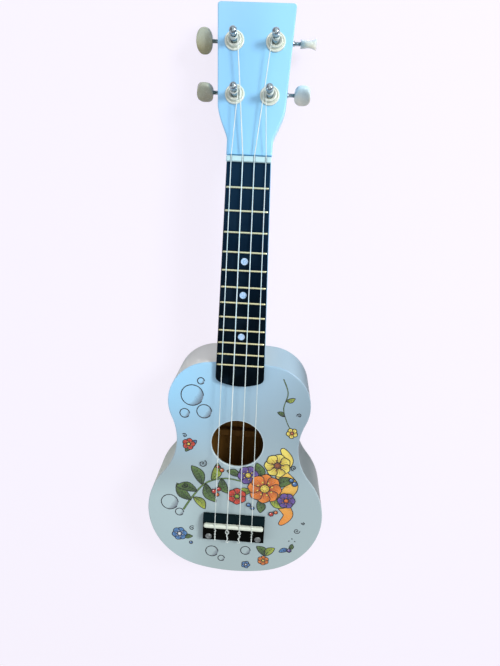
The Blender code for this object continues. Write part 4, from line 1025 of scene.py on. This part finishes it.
def addDots():
    for number in fretting["dotFrets"]:
        y = (fretY(number) + fretY(number - 1)) / 2
        place = Matrix.Translation((0.0, y, fretting["topZ"]))
        rings = turnedRings(inMm(fretting["dot"]), fretting["dotSteps"], place)
        addSkin("marker_fret_%02d" % number, rings)


# The nut: painted shade round its four string slots, and a painted bluish light on its pale plastic
# elsewhere.
nut = {
    "pitch": 9.17 * mm,
    "edge": 0.25 * mm,
    "slotShadeReach": (0.6 * mm, 1.0 * mm),
    "slot": rgb(74, 112, 130),
    "block": (rgb(180, 218, 222), rgb(168, 206, 214)),
}


def makeNutPlastic():
    finish = Finish("nutPlastic", {"Coat Weight": 0.2, "Coat Roughness": 0.1, "IOR": 1.49, "Roughness": 0.3})
    # painted shade round each string slot
    away = abs(finish.place().part(0) / nut["pitch"] % 1.0 - 0.5)
    slot = away.spread(*[reach / nut["pitch"] for reach in nut["slotShadeReach"]])
    block = finish.noise(finish.place(), 90.0, 2.0).blend(*nut["block"])
    finish.feed("Base Color", slot.blend(nut["slot"], block))
    return finish.material


softCopy("fretboard", fretting["edge"], 50.0)
softCopy("nut", nut["edge"], finish=makeNutPlastic())
addFrets()
addDots()
print("fretboard built")


# Bridge, saddle and the bridge's two capped screws
bridge = {
    "topZ": 62.3 * mm,
    "rearY": -19.5 * mm,
    "edge": 0.45 * mm,
    "saddleY": -1.2 * mm,
    "saddleLength": 60.0 * mm,
    "saddleThickness": 4.4 * mm,
    "saddleDepth": 2.7 * mm,
    "saddleCrownZ": 65.37 * mm,
    "crownDrop": 1.5 * mm,
    "crownInset": 0.86,
    "crownTurn": 80.0,
    "crownSteps": 8,
    "endSteps": 14,
    "screws": {"bridge_screw_bass": -25.0 * mm, "bridge_screw_treble": 25.0 * mm},
    "screwY": -15.0 * mm,
    "cap": (
        (3.2, -0.4), (3.2, 0.05), (3.14, 0.33), (3.0, 0.45), (2.1, 0.48),
        (1.9, 0.19), (1.55, 0.19), (1.35, 0.48), (0.4, 0.51),
    ),
    "capSteps": 48,
    "capTones": (rgb(158, 166, 164), rgb(140, 148, 146)),
    "capRoughness": 0.5,
}


def stadium(halfLength, halfWidth, steps):
    centre = halfLength - halfWidth
    points = []
    for hand in (1, -1):
        for i in range(steps + 1):
            angle = math.pi * (i / steps - hand / 2)
            points.append((hand * centre + halfWidth * math.cos(angle), halfWidth * math.sin(angle)))
    return points


def addSaddle():
    half = bridge["saddleThickness"] / 2
    levels = [(0.0, bridge["topZ"] - bridge["saddleDepth"])]
    for i in range(bridge["crownSteps"] + 1):
        angle = math.radians(bridge["crownTurn"] * i / bridge["crownSteps"])
        inset = half * (1 - math.cos(angle)) * bridge["crownInset"]
        levels.append((inset, bridge["saddleCrownZ"] - bridge["crownDrop"] * (1 - math.sin(angle))))
    rings = []
    for inset, z in levels:
        outline = stadium(bridge["saddleLength"] / 2 - inset, half - inset, bridge["endSteps"])
        rings.append([Vector((x, y + bridge["saddleY"], z)) for x, y in outline])
    addSkin("saddle", rings, 50.0)


def addBridgeScrew(node, x):
    place = Matrix.Translation((x, bridge["screwY"], bridge["topZ"]))
    rings = turnedRings(inMm(bridge["cap"]), bridge["capSteps"], place)
    finish = makeMetal("satinCap_" + node, *bridge["capTones"], bridge["capRoughness"])
    addSkin(node, rings, finish=finish)


softCopy("bridge", bridge["edge"])
addSaddle()
for node, x in bridge["screws"].items():
    addBridgeScrew(node, x)
print("bridge built")


# Tuners. Their turned profiles are given in millimetres, as radius and height.
tuner = {
    "lower": (13.7 * mm, 46.4 * mm),
    "upper": (16.1 * mm, 86.6 * mm),
    "wormOffset": 7.5 * mm,
    "wormDepth": 17.1 * mm,
    "post": (
        (1.7, -19.3), (1.7, -15.2), (2.7, -15.2), (2.7, 4.6), (2.2, 5.5),
        (2.2, 11.8), (2.75, 12.1), (2.75, 13.3), (1.8, 13.7),
    ),
    "postRounding": 0.3 * mm,
    "postSteps": 48,
    "postRadius": 2.2 * mm,
    "footRadius": 1.7 * mm,
    "footDepth": 19.3 * mm,
    "ball": {"radius": 3.0 * mm, "half": 2.3 * mm, "height": 15.7 * mm, "turns": (-35.0, 84.0), "steps": 14},
    "bushing": (
        (4.1, -0.2), (7.7, -0.05), (7.7, 1.1), (7.1, 1.5), (6.5, 1.6), (6.1, 0.7), (5.5, 0.7),
        (5.5, 3.1), (5.0, 3.5), (4.4, 3.5), (3.9, 2.5), (3.0, 2.2), (3.0, 0.5),
    ),
    "bushingRounding": 0.25 * mm,
    "bushingSteps": 64,
    "knobLength": 13.1 * mm,
    "knobWidth": 19.5 * mm,
    "knobInner": 6.7 * mm,
    "knobWaist": 5.6 * mm,
    "knobOuter": 8.7 * mm,
    "knobCentre": 26.0 * mm,
    "waistShare": 0.45,
    "outerSlope": 1.6,
    "easeShare": 0.05,
    "knobFullness": 2.4,
    "knobCorner": 0.62,
    "knobTurns": (67.0, 118.0, 30.0, 70.0),
    "knobSteps": 56,
    "soft": (("plate_%d", 0.18 * mm, 35.0), ("worm_%d", 0.0, 50.0), ("gear_%d", 0.08 * mm, 35.0)),
    "plateScrews": (-5.9 * mm, 12.8 * mm),
    "plateScrewDepth": 12.8 * mm,
    "plateScrewRadius": 1.5 * mm,
}
lowerX, lowerAlong = tuner["lower"]
upperX, upperAlong = tuner["upper"]
tunerPlaces = ((lowerX, lowerAlong), (upperX, upperAlong), (-upperX, upperAlong), (-lowerX, lowerAlong))
headAxes = Matrix((Vector((1.0, 0.0, 0.0)), headAlong, headNormal)).transposed().to_4x4()
wormAxes = Matrix((headAlong, headNormal, Vector((1.0, 0.0, 0.0)))).transposed().to_4x4()


def roundedProfile(corners, radius):
    points = [corners[0]]
    for before, here, after in zip(corners, corners[1:], corners[2:]):
        a, b, c = Vector(before), Vector(here), Vector(after)
        reach = min(radius, (a - b).length * 0.45, (c - b).length * 0.45)
        start, end = b + (a - b).normalized() * reach, b + (c - b).normalized() * reach
        for share in (0.0, 0.25, 0.5, 0.75, 1.0):
            curve = start * (1 - share) ** 2 + b * (2 * share * (1 - share)) + end * share**2
            points.append(tuple(curve))
    points.append(corners[-1])
    return points


def postProfile():
    points = roundedProfile(inMm(tuner["post"]), tuner["postRounding"])
    ball = tuner["ball"]
    for i in range(ball["steps"] + 1):
        angle = math.radians(lerp(*ball["turns"], i / ball["steps"]))
        points.append((ball["radius"] * math.cos(angle), ball["height"] + ball["half"] * math.sin(angle)))
    return points


def knobSection(share):
    fullness, waist = tuner["knobFullness"], tuner["waistShare"]
    width = tuner["knobWidth"] * max(0.0, 1 - abs(2 * share - 1) ** fullness) ** (1 / fullness)
    if share < waist:
        thickness = lerp(tuner["knobInner"], tuner["knobWaist"], share / waist)
    else:
        slope = (share - waist) / (1 - waist)
        thickness = lerp(tuner["knobWaist"], tuner["knobOuter"], slope ** tuner["outerSlope"])
    ease = smoothstep((1 - share) / tuner["easeShare"])
    return width / 2, thickness / 2 * lerp(0.8, 1.0, ease)


def roundedPower(value):
    return math.copysign(abs(value) ** tuner["knobCorner"], value)


def addKnob(number, hand, turn, matrix):
    start = tuner["knobCentre"] - tuner["knobLength"] / 2
    shares = [0.004, 0.012, 0.03] + [0.06 + 0.88 * i / 22 for i in range(23)] + [0.965, 0.985, 0.996]
    about = Matrix.Rotation(math.radians(turn), 4, "Z")
    rings = []
    for share in shares:
        halfWidth, halfThickness = knobSection(share)
        z = hand * (start + tuner["knobLength"] * share)
        ring = []
        for i in range(tuner["knobSteps"]):
            angle = 2 * math.pi * (i + 0.5) / tuner["knobSteps"]
            across, through = roundedPower(math.cos(angle)), roundedPower(math.sin(angle))
            ring.append(matrix @ about @ Vector((halfWidth * across, halfThickness * through, z)))
        rings.append(ring)
    addSkin("knob_%d" % number, rings, 60.0)


def addScrewHead(build, matrix, radius):
    profile = [(radius, -0.2 * mm), (radius, 0.1 * mm), (radius * 0.9, 0.32 * mm), (radius * 0.6, 0.5 * mm)]
    loft(build, turnedRings(profile + [(radius * 0.25, 0.56 * mm)], 24, matrix))
    half, reach = radius * 0.1, radius * 0.62
    outline = ((-reach, -half), (reach, -half), (reach, half), (-reach, half))
    for quarter in (0.0, math.pi / 2):
        spin = matrix @ Matrix.Rotation(quarter, 4, "Z")
        loft(build, [[spin @ Vector((x, y, z)) for x, y in outline] for z in (0.42 * mm, 0.6 * mm)])


whitePlastic = makePlastic("whitePlastic", rgb(216, 224, 212), rgb(208, 217, 204), 0.2, 0.4)


def addTuner(number, x, along):
    hand = 1 if x > 0 else -1
    post = Matrix.Translation(headPoint(x, along, 0.0)) @ headAxes
    worm = Matrix.Translation(headPoint(x, along + tuner["wormOffset"], -tuner["wormDepth"])) @ wormAxes
    build = bmesh.new()
    loft(build, turnedRings(postProfile(), tuner["postSteps"], post))
    foot = Matrix.Translation((0.0, 0.0, -tuner["footDepth"])) @ Matrix.Rotation(math.pi, 4, "X")
    addScrewHead(build, post @ foot, tuner["footRadius"])
    addFine("post_%d" % number, build)
    profile = roundedProfile(inMm(tuner["bushing"]), tuner["bushingRounding"])
    rings = turnedRings(profile, tuner["bushingSteps"], post)
    addSkin("bushing_%d" % number, rings, finish=whitePlastic, closed=True)
    addKnob(number, hand, tuner["knobTurns"][number - 1], worm)
    for node, edge, sharp in tuner["soft"]:
        softCopy(node % number, edge, sharp)


def addPlateScrews():
    build = bmesh.new()
    addScrewHead(build, Matrix.Identity(4), tuner["plateScrewRadius"])
    unit = meshFrom("plate_screw_unit", build)
    places = []
    flip = headAxes.to_3x3() @ Matrix.Rotation(math.pi, 3, "X")
    for number, (x, along) in enumerate(tunerPlaces):
        for step, off in enumerate(tuner["plateScrews"]):
            spin = flip @ Matrix.Rotation(0.5 + 1.1 * number + 0.7 * step, 3, "Z")
            place = headPoint(x, along + off, -tuner["plateScrewDepth"])
            places.append((place, tuple(spin.to_euler()), (1.0, 1.0, 1.0)))
    mesh = scatter("plate_screws", unit, places, finishes["nickel_plate"])
    dress("plate_screws", mesh, [], 40.0, "nickel_plate", "ukulele")


for number, (x, along) in enumerate(tunerPlaces, 1):
    addTuner(number, x, along)
addPlateScrews()
print("tuners built")


# Strings: smooth tubes from the bridge's slots over the saddle and the nut to the posts
strings = {
    "diameters": (0.62 * mm, 0.74 * mm, 0.86 * mm, 0.66 * mm),
    "saddlePitch": 12.37 * mm,
    "saddleZ": 65.9 * mm,
    "nutZ": 62.3 * mm,
    "nutDrop": 0.3 * mm,
    "slotDepth": 1.6 * mm,
    "slotGap": 0.1 * mm,
    "slotY": (0.2 * mm, -13.0 * mm, -7.7 * mm),  # past the bridge's rear, halfway, end
    "saddleSteps": ((1.1, 1.0 * mm), (0.6, 0.2 * mm), (0.0, 0.0)),  # in half saddles, drop
    "turns": 2.75,
    "pitch": 1.3 * mm,
    "windStart": 7.2 * mm,
    "windGap": 0.3 * mm,
    "perTurn": 48,
    "sides": 12,
}
# Knots, in millimetres: strings 1 and 4 end in a ring and a twist, 2 and 3 in a loop and a curl.
knots = {
    "y": -8.2,
    "thinner": 0.92,
    "lift": 0.1,
    "loopRadius": (None, 1.28, 1.6, None),
    "lean": (None, -1, 1, None),
    "curl": (
        (0.1, -3.6, 0.75), (-0.5, -5.4, 0.45), (0.3, -7.2, 0.5), (0.75, -8.8, 0.4),
        (0.2, -10.4, 0.3), (-0.6, -12.2, 0.1), (-0.9, -13.8, -0.9), (-0.2, -15.3, -1.8),
        (1.0, -15.5, -2.1), (1.8, -14.4, -2.0), (1.6, -13.5, -1.8),
    ),
}


def smoothPath(points, steps):
    path = []
    padded = [points[0]] + list(points) + [points[-1]]
    for before, start, end, after in zip(padded, padded[1:], padded[2:], padded[3:]):
        for i in range(steps):
            t = i / steps
            square = 2 * before - 5 * start + 4 * end - after
            cube = 3 * start - before - 3 * end + after
            path.append(start + (end - before) * (t / 2) + (square * t**2 + cube * t**3) / 2)
    return path + [points[-1]]


def tube(build, points, radius):
    rings = []
    across = Vector((1.0, 0.0, 0.0))
    turns = [2 * math.pi * k / strings["sides"] for k in range(strings["sides"])]
    for i, point in enumerate(points):
        ahead = (points[min(i + 1, len(points) - 1)] - points[max(i - 1, 0)]).normalized()
        across = (across - ahead * across.dot(ahead)).normalized()
        up = ahead.cross(across)
        rings.append([point + (across * math.cos(t) + up * math.sin(t)) * radius for t in turns])
    loft(build, rings)


def windingPath(number, leave, radius):
    x, along = tunerPlaces[number - 1]
    offset = leave - headStart
    start = Vector((offset.x, offset.dot(headAlong)))
    wrap = tuner["postRadius"] + strings["windGap"] + radius
    way = 1 if x < 0 else -1
    run = Vector((x, along)) - start
    first = heading(Vector((0.0, 0.0)), run) - way * math.asin(wrap / run.length) - way * math.pi / 2
    points = []
    count = round(strings["perTurn"] * strings["turns"])
    for i in range(count + 1):
        turns = i / strings["perTurn"]
        angle = first + way * 2 * math.pi * turns
        height = strings["windStart"] + strings["pitch"] * turns
        points.append(headPoint(x + wrap * math.cos(angle), along + wrap * math.sin(angle), height))
    return points


def stringPath(number):
    radius = strings["diameters"][number - 1] / 2
    atSaddle, atNut = strings["saddlePitch"] * (2.5 - number), nut["pitch"] * (2.5 - number)
    slotZ = bridge["topZ"] - strings["slotDepth"] + radius + strings["slotGap"]
    pastRear, halfway, end = strings["slotY"]
    bend = [(y, slotZ) for y in (bridge["rearY"] + pastRear, halfway, end)]
    for share, drop in strings["saddleSteps"]:
        bend.append((bridge["saddleY"] - bridge["saddleThickness"] / 2 * share, strings["saddleZ"] - drop))
    path = smoothPath([Vector((atSaddle, y, z)) for y, z in bend], 5)
    start, stop = path[-1], Vector((atNut, neck["nutY"], strings["nutZ"]))
    path += [start.lerp(stop, i / 24) for i in range(1, 25)]
    leave = Vector((atNut, nutRearY, strings["nutZ"] - strings["nutDrop"]))
    return path + [leave] + windingPath(number, leave, radius), radius


def twistedEnd():
    ring = []
    for i in range(15):
        t = 2 * math.pi * i / 12
        ring.append((0.95 * math.sin(t), 0.5 * t, 0.5 * math.cos(t)))
    paths = [(ring, 3)]
    for hand in (1, -1):
        turns = [(0.8 * i, i) for i in range(13)]
        twist = [(hand * 0.5 * math.cos(t), -0.9 * i, 0.5 + 0.4 * hand * math.sin(t)) for t, i in turns]
        paths.append((twist, 3))
    return paths


def loopedEnd(size, lean):
    loop = []
    for i in range(15):
        t = 2 * math.pi * i / 14 + math.pi / 2
        loop.append((size * math.cos(t), 1.35 * size * math.sin(t), 0.35 + 0.04 * i))
    curl = [(lean * a, b + 1.2, c + 0.25) for a, b, c in knots["curl"]]
    twist = []
    for i, (a, b, c) in enumerate(curl[:5]):
        twist.append((a + 0.42 * math.sin(1.9 * i), b, c + 0.42 * math.cos(1.9 * i)))
    return [(loop, 3), (curl, 6), (twist, 6)]


def knotPaths(number, x):
    size, lean = knots["loopRadius"][number - 1], knots["lean"][number - 1]
    start = Vector((x, knots["y"] * mm, bridge["topZ"] + knots["lift"] * mm))
    paths = loopedEnd(size, lean) if size else twistedEnd()
    return [smoothPath([start + Vector(point) * mm for point in points], steps) for points, steps in paths]


def addString(number):
    path, radius = stringPath(number)
    build = bmesh.new()
    tube(build, path, radius)
    for extra in knotPaths(number, path[0].x):
        tube(build, extra, radius * knots["thinner"])
    addFine("string_%d" % number, build, 60.0)


for number in (1, 2, 3, 4):
    addString(number)
print("strings run")


# Printed ornament on the soundboard: flat inked shapes under the lacquer, later ones on top.
# Its measures are in millimetres and its angles in degrees.
press = {
    "lift": 0.02 * mm,
    "step": 0.003 * mm,
    "line": 0.82,
    "fine": 0.38,
    "shadeSide": -30,
    "bladeSteps": 14,
    "black": rgb(12, 14, 20),
    "grey": rgb(96, 104, 116),
    "leaf": (rgb(44, 70, 36), rgb(92, 124, 56)),
    "lime": (rgb(96, 124, 40), rgb(170, 186, 62)),
    "orange": (rgb(172, 58, 22), rgb(232, 138, 44)),
    "red": (rgb(134, 26, 22), rgb(214, 72, 44)),
    "yellow": (rgb(196, 160, 40), rgb(236, 224, 104)),
    "purple": (rgb(48, 34, 88), rgb(112, 88, 164)),
    "blue": (rgb(34, 66, 118), rgb(86, 142, 196)),
    "brown": (rgb(92, 48, 22), rgb(168, 96, 44)),
    "white": (rgb(206, 214, 214), rgb(232, 236, 236)),
}
inkBuild = bmesh.new()
inkLayer = inkBuild.verts.layers.float_color.new("ink")
pressed = {"level": 0}


def polar(angle, radius):
    turn = math.radians(angle)
    return Vector((radius * math.cos(turn), radius * math.sin(turn)))


def compass(angle, radius):
    turn = math.radians(angle)
    return Vector((radius * math.sin(turn), radius * math.cos(turn)))


def flatPath(points, steps):
    return [point.xy for point in smoothPath([Vector((x, y, 0.0)) for x, y in points], steps)]


def shade(colour, amount):
    return tuple(channel * amount for channel in colour)


def mix(first, second, share):
    return tuple(lerp(a, b, share) for a, b in zip(first, second))


def inkVert(point, colour, cover=1.0):
    z = body["depth"] + press["lift"] + press["step"] * pressed["level"]
    vert = inkBuild.verts.new((point.x * mm, point.y * mm, z))
    vert[inkLayer] = (*colour, cover)
    return vert


def inkBand(sides):
    for (a, b), (c, d) in zip(sides, sides[1:]):
        inkBuild.faces.new((a, c, d, b))


def inkRows(rows, colours):
    pressed["level"] += 1
    made = []
    for row, tones in zip(rows, colours):
        made.append([inkVert(point, tone) for point, tone in zip(row, tones)])
    for low, high in zip(made, made[1:]):
        for a, b, c, d in zip(low, low[1:], high[1:], high):
            inkBuild.faces.new((a, b, c, d))


def inkLine(points, width, colour=press["black"], closed=False, taper=0.0):
    pressed["level"] += 1
    count = len(points)
    sides = []
    for i, point in enumerate(points):
        before = points[(i - 1) % count] if closed or i else point
        after = points[(i + 1) % count] if closed or i < count - 1 else point
        ahead = (after - before).normalized()
        across = Vector((-ahead.y, ahead.x)) * (width / 2 * (1 - taper * i / max(1, count - 1)))
        sides.append((inkVert(point - across, colour), inkVert(point + across, colour)))
    inkBand(sides + sides[:1] if closed else sides)


def inkDisc(centre, radius, edge, middle, lit=None):
    pressed["level"] += 1
    ring = [centre + polar(angle, radius) for angle in range(0, 360, 10)]
    hub = inkVert(centre + Vector(lit or (0.0, 0.0)) * radius, middle)
    for low, high in loopEdges([inkVert(point, edge) for point in ring]):
        inkBuild.faces.new((hub, low, high))
    if lit:
        inkLine(ring, press["line"], closed=True)


def inkDot(x, y, radius, colour=press["black"]):
    inkDisc(Vector((x, y)), radius, colour, colour)


# A blade is a leaf or, with its fullest part nearer the tip, a petal.
def inkBlade(x, y, angle, length, half, tones, bow=0.0, veins=0, fullness=1.0):
    ahead = compass(angle, 1.0)
    side = Vector((ahead.y, -ahead.x))
    dark, light = press[tones]
    steps = press["bladeSteps"]
    rows, colours = [], []
    for i in range(steps + 1):
        t = i / steps
        wide = half * max(0.0, math.sin(math.pi * t**fullness)) ** 0.8
        mid = Vector((x, y)) + ahead * length * t + side * bow * length * math.sin(math.pi * t)
        tone = mix(dark, light, t)
        rows.append([mid - side * wide, mid - side * wide / 2, mid, mid + side * wide])
        colours.append([shade(tone, 0.62), shade(tone, 0.86), tone, mix(tone, light, 0.6)])
    inkRows(rows, colours)
    inkLine([row[0] for row in rows] + [row[3] for row in reversed(rows[1:-1])], press["line"], closed=True)
    middle = [row[2] for row in rows]
    inkLine(middle[: steps - 2], press["line"] * 0.8, taper=0.8)
    for i in range(veins):
        at = round((0.2 + 0.55 * i / max(1, veins - 1)) * steps)
        for hand in (0, 3):
            reach = middle[at].lerp(rows[min(at + 2, steps)][hand], 0.75)
            inkLine([middle[at], reach], press["fine"], taper=0.7)


def inkBlossom(x, y, radius, petals, spin, tones, heart, ratio=0.42):
    middle = Vector((x, y))
    for i in range(petals):
        inkBlade(x, y, spin + 360 * i / petals, radius, radius * ratio, tones, fullness=1.7)
    for i in range(petals):
        at = middle + compass(spin + 180 / petals + 360 * i / petals, 0.44 * radius)
        inkLine([middle, at], press["fine"] * 1.3)
        inkDisc(at, radius * 0.055, *press[heart])
    inkDisc(middle, radius * 0.27, *press[heart], (-0.3, 0.3))
    for i in range(7):
        inkDot(*(middle + compass(51.4 * i, 0.15 * radius)), radius * 0.028)


def inkBerry(x, y, radius, tones):
    inkDisc(Vector((x, y)), radius, *press[tones], (-0.35, 0.35))
    inkDot(x - 0.35 * radius, y + 0.38 * radius, radius * 0.2, press["white"][1])


def inkCurl(x, y, radius, turns, spin, hand=1):
    points = []
    for i in range(round(26 * turns) + 1):
        share = i / (26 * turns)
        points.append(Vector((x, y)) + polar(spin + hand * 360 * turns * share, radius * share))
    inkLine(points, press["line"])


# A bubble is an open ring, shaded on one side only.
def inkBubble(x, y, radius):
    pressed["level"] += 1
    middle = Vector((x, y))
    sides = []
    for angle in range(0, 361, 10):
        facing = max(0.0, math.cos(math.radians(angle - press["shadeSide"])))
        point = middle + polar(angle, radius)
        inner = middle.lerp(point, 1 - 0.75 * facing)
        sides.append((inkVert(point, press["grey"], 0.95 * facing**0.6), inkVert(inner, press["grey"], 0.0)))
    inkBand(sides)
    inkLine([middle + polar(angle, radius) for angle in range(0, 332, 8)], press["line"] * 1.15)


def inkRibbon(points, half, first, last):
    path = flatPath(points, 12)
    rows, colours = [], []
    for i, point in enumerate(path):
        ahead = (path[min(i + 1, len(path) - 1)] - path[max(i - 1, 0)]).normalized()
        across = Vector((ahead.y, -ahead.x))
        share = i / (len(path) - 1)
        wide = half * (0.04 + 0.96 * math.sin(math.pi * share) ** 0.45)
        tone = mix(press[first][1], press[last][1], share)
        fold = 0.72 + 0.28 * abs(math.cos(4.5 * math.pi * share))
        rows.append([point - across * wide, point, point + across * wide])
        colours.append([shade(tone, fold), tone, shade(tone, 1.12 - 0.2 * fold)])
    inkRows(rows, colours)
    inkLine([row[0] for row in rows] + [row[2] for row in reversed(rows)], press["line"], closed=True)


def inkStem(points, width):
    path = flatPath(points, 10)
    inkLine(path, width + 0.7, taper=0.3)
    inkLine(path, width, press["leaf"][1], taper=0.35)


# Motifs in the order in which they are printed; each one starts again on the lowest level.
ornament = (
    ((inkBubble, (
        (-44, 138, 10.5), (-32.5, 122, 7.0), (-51, 119, 4.6), (-36, 153, 3.2), (-66, 18, 8.6),
        (-56, 7, 4.2), (-22, -39, 6.4), (-12, -47, 3.4), (13, -35, 5.0),
    )),),
    (
        (inkRibbon, (
            (((43, 88), (50, 75), (43, 62), (55, 46), (46, 29), (54, 13), (46, 0)), 6.6, "yellow", "orange"),
        )),
        (inkStem, ((((-52, 10), (-43, 26), (-30, 43), (-12, 50), (6, 48), (22, 42)), 1.5),)),
        (inkBlade, (
            (-44, 22, -38, 24, 5.2, "leaf", -0.10, 5), (-38, 33, -78, 22, 5.0, "leaf", 0.12, 4),
            (-33, 41, -28, 24, 5.2, "leaf", 0.10, 5), (-24, 47, 16, 21, 4.6, "lime", 0.12, 4),
            (-30, 43, 152, 24, 5.2, "leaf", 0.12, 4), (-42, 26, 138, 18, 4.4, "lime", -0.12, 4),
            (-14, 50, 160, 18, 4.4, "leaf", 0.10, 4), (24, 50, -12, 21, 5.0, "leaf", 0.08, 5),
            (38, 44, 62, 22, 5.2, "leaf", -0.10, 5), (34, 32, 118, 21, 5.0, "lime", 0.10, 5),
            (24, 28, 172, 15, 4.4, "leaf", -0.10, 4), (4, 54, -68, 14, 3.6, "leaf", 0.1, 3),
            (16, 38, 250, 15, 4.2, "lime", 0.1, 4),
        )),
        (inkBlossom, (
            (40, 69, 13, 7, 10, "yellow", "brown", 0.44), (12, 56, 10.5, 6, 20, "purple", "yellow", 0.46),
            (29, 42, 17, 8, 4, "orange", "yellow", 0.40), (2, 31, 9.5, 6, 0, "red", "lime", 0.46),
            (51, 30, 9, 6, 30, "purple", "orange", 0.46),
        )),
        (inkBerry, (
            (-21, 35, 2.6, "red"), (-16.5, 38, 2.3, "red"), (-18, 31.5, 2.1, "orange"),
            (58, 50, 2.6, "blue"), (54.5, 54, 2.1, "blue"), (14, 22, 2.2, "blue"),
            (18, 18.5, 1.8, "blue"), (-14, 60, 2.2, "orange"), (-18, 63.5, 1.8, "red"),
            (37, 13, 2.4, "red"), (41.5, 15.5, 1.9, "orange"),
        )),
        (inkCurl, ((-33, 66, 4.2, 1.6, 200), (-50, 40, 3.4, 1.5, 20, -1), (56, 68, 3.0, 1.5, 90))),
    ),
    (
        (inkBlade, ((-47, 86, 60, 9, 2.4, "blue", 0.1, 2), (-47, 86, 200, 9, 2.4, "leaf", -0.1, 2))),
        (inkBlossom, ((-47, 86, 6.4, 5, 12, "red", "yellow"),)),
        (inkCurl, ((-51, 95, 2.4, 1.4, 10),)),
    ),
    (
        (inkStem, ((((40, 160), (45, 146), (42, 130), (46, 116), (51, 107)), 0.5),)),
        (inkBlade, ((43.5, 138, 70, 9, 2.2, "lime", 0.1, 3), (43.5, 122, -60, 8, 2.0, "leaf", 0.1, 3))),
        (inkBlossom, ((51.5, 105, 5.6, 5, 40, "yellow", "orange"),)),
        (inkCurl, ((57, 124, 2.4, 1.4, 60),)),
    ),
    (
        (inkBlade, ((-54, -20, 100, 12, 2.8, "leaf", 0.12, 3),)),
        (inkBlossom, ((-56, -20, 8.0, 6, 18, "blue", "white"),)),
        (inkCurl, ((-43, -12, 3.0, 1.5, 230, -1),)),
        (inkBerry, ((-44, -30, 1.7, "blue"),)),
    ),
    (
        (inkBlade, ((34, -40, -40, 15, 4.2, "leaf", 0.12, 4), (34, -40, 40, 14, 4.0, "lime", -0.12, 4))),
        (inkBlossom, ((32, -46, 6.0, 6, 0, "orange", "yellow"), (14, -53, 4.6, 5, 20, "blue", "white"))),
    ),
    (
        (inkBlade, ((58, -30, -110, 11, 2.6, "blue", 0.1, 3), (58, -30, 20, 8, 2.2, "leaf", 0.1, 3))),
        (inkBerry, ((58, -31, 2.2, "purple"),)),
        (inkCurl, ((64, -6, 3.4, 1.7, 120), (70, 4, 2.0, 1.4, 300, -1))),
        (inkDot, ((60, -16, 0.7), (63, -19, 0.7), (57, -19, 0.7))),
    ),
)


def makeInk():
    finish = Finish("printedInk", {"Coat Weight": 0.6, "Coat Roughness": 0.06, "IOR": 1.5})
    mottle = finish.noise(finish.place(), 700.0, 3.0)
    share = mottle.spread(0.25, 0.75, 0.0, 0.12)
    worn = share.blend(finish.attribute("ink", "Color"), rgb(150, 160, 165))
    finish.feed("Base Color", finish.attribute("ink", "Alpha").blend(lacquerColour(finish)[0], worn))
    finish.feed("Roughness", mottle.spread(0.3, 0.7, 0.2, 0.3))
    finish.bump(finish.noise(finish.place(), 420.0, 2.0), lacquer["peel"], lacquer["peelStrength"])
    return finish.material


for motif in ornament:
    pressed["level"] = 0
    for draw, rows in motif:
        for row in rows:
            draw(*row)
addPiece("printed_ornament", inkBuild, [], 60.0, "lacquered_wood", "ukulele", makeInk())
print("ornament printed")


def addFloor():
    build = bmesh.new()
    bmesh.ops.create_grid(build, x_segments=1, y_segments=1, size=studio["floorSize"] / 2)
    mesh = meshFrom("floor", build)
    floor = addObject("floor", mesh)
    colour = withAlpha(studio["floorColour"])
    finish = Finish("paleFloor", {"Roughness": 0.9, "Base Color": colour})
    path = finish.wire.node("ShaderNodeLightPath")
    glow = finish.wire.node("ShaderNodeEmission", None, {"Color": colour, "Strength": 1.0})
    shader = Wire(finish.tree, finish.shader.outputs[0])
    mixed = finish.wire.node("ShaderNodeMixShader", None, {0: path * studio["floorGlow"], 1: shader, 2: glow})
    finish.tree.links.new(mixed.socket, finish.tree.nodes["Material Output"].inputs["Surface"])
    mesh.materials.append(finish.material)


def addSky():
    world = bpy.data.worlds.new("studioSky")
    scene.world = world
    world.use_nodes = True
    back = world.node_tree.nodes["Background"]
    back.inputs["Color"].default_value = withAlpha(studio["floorColour"])
    back.inputs["Strength"].default_value = studio["sky"]


addFloor()
addSky()
for name, choice in studio["lamps"].items():
    addLamp(name, choice)
addCamera()
print("studio lit")
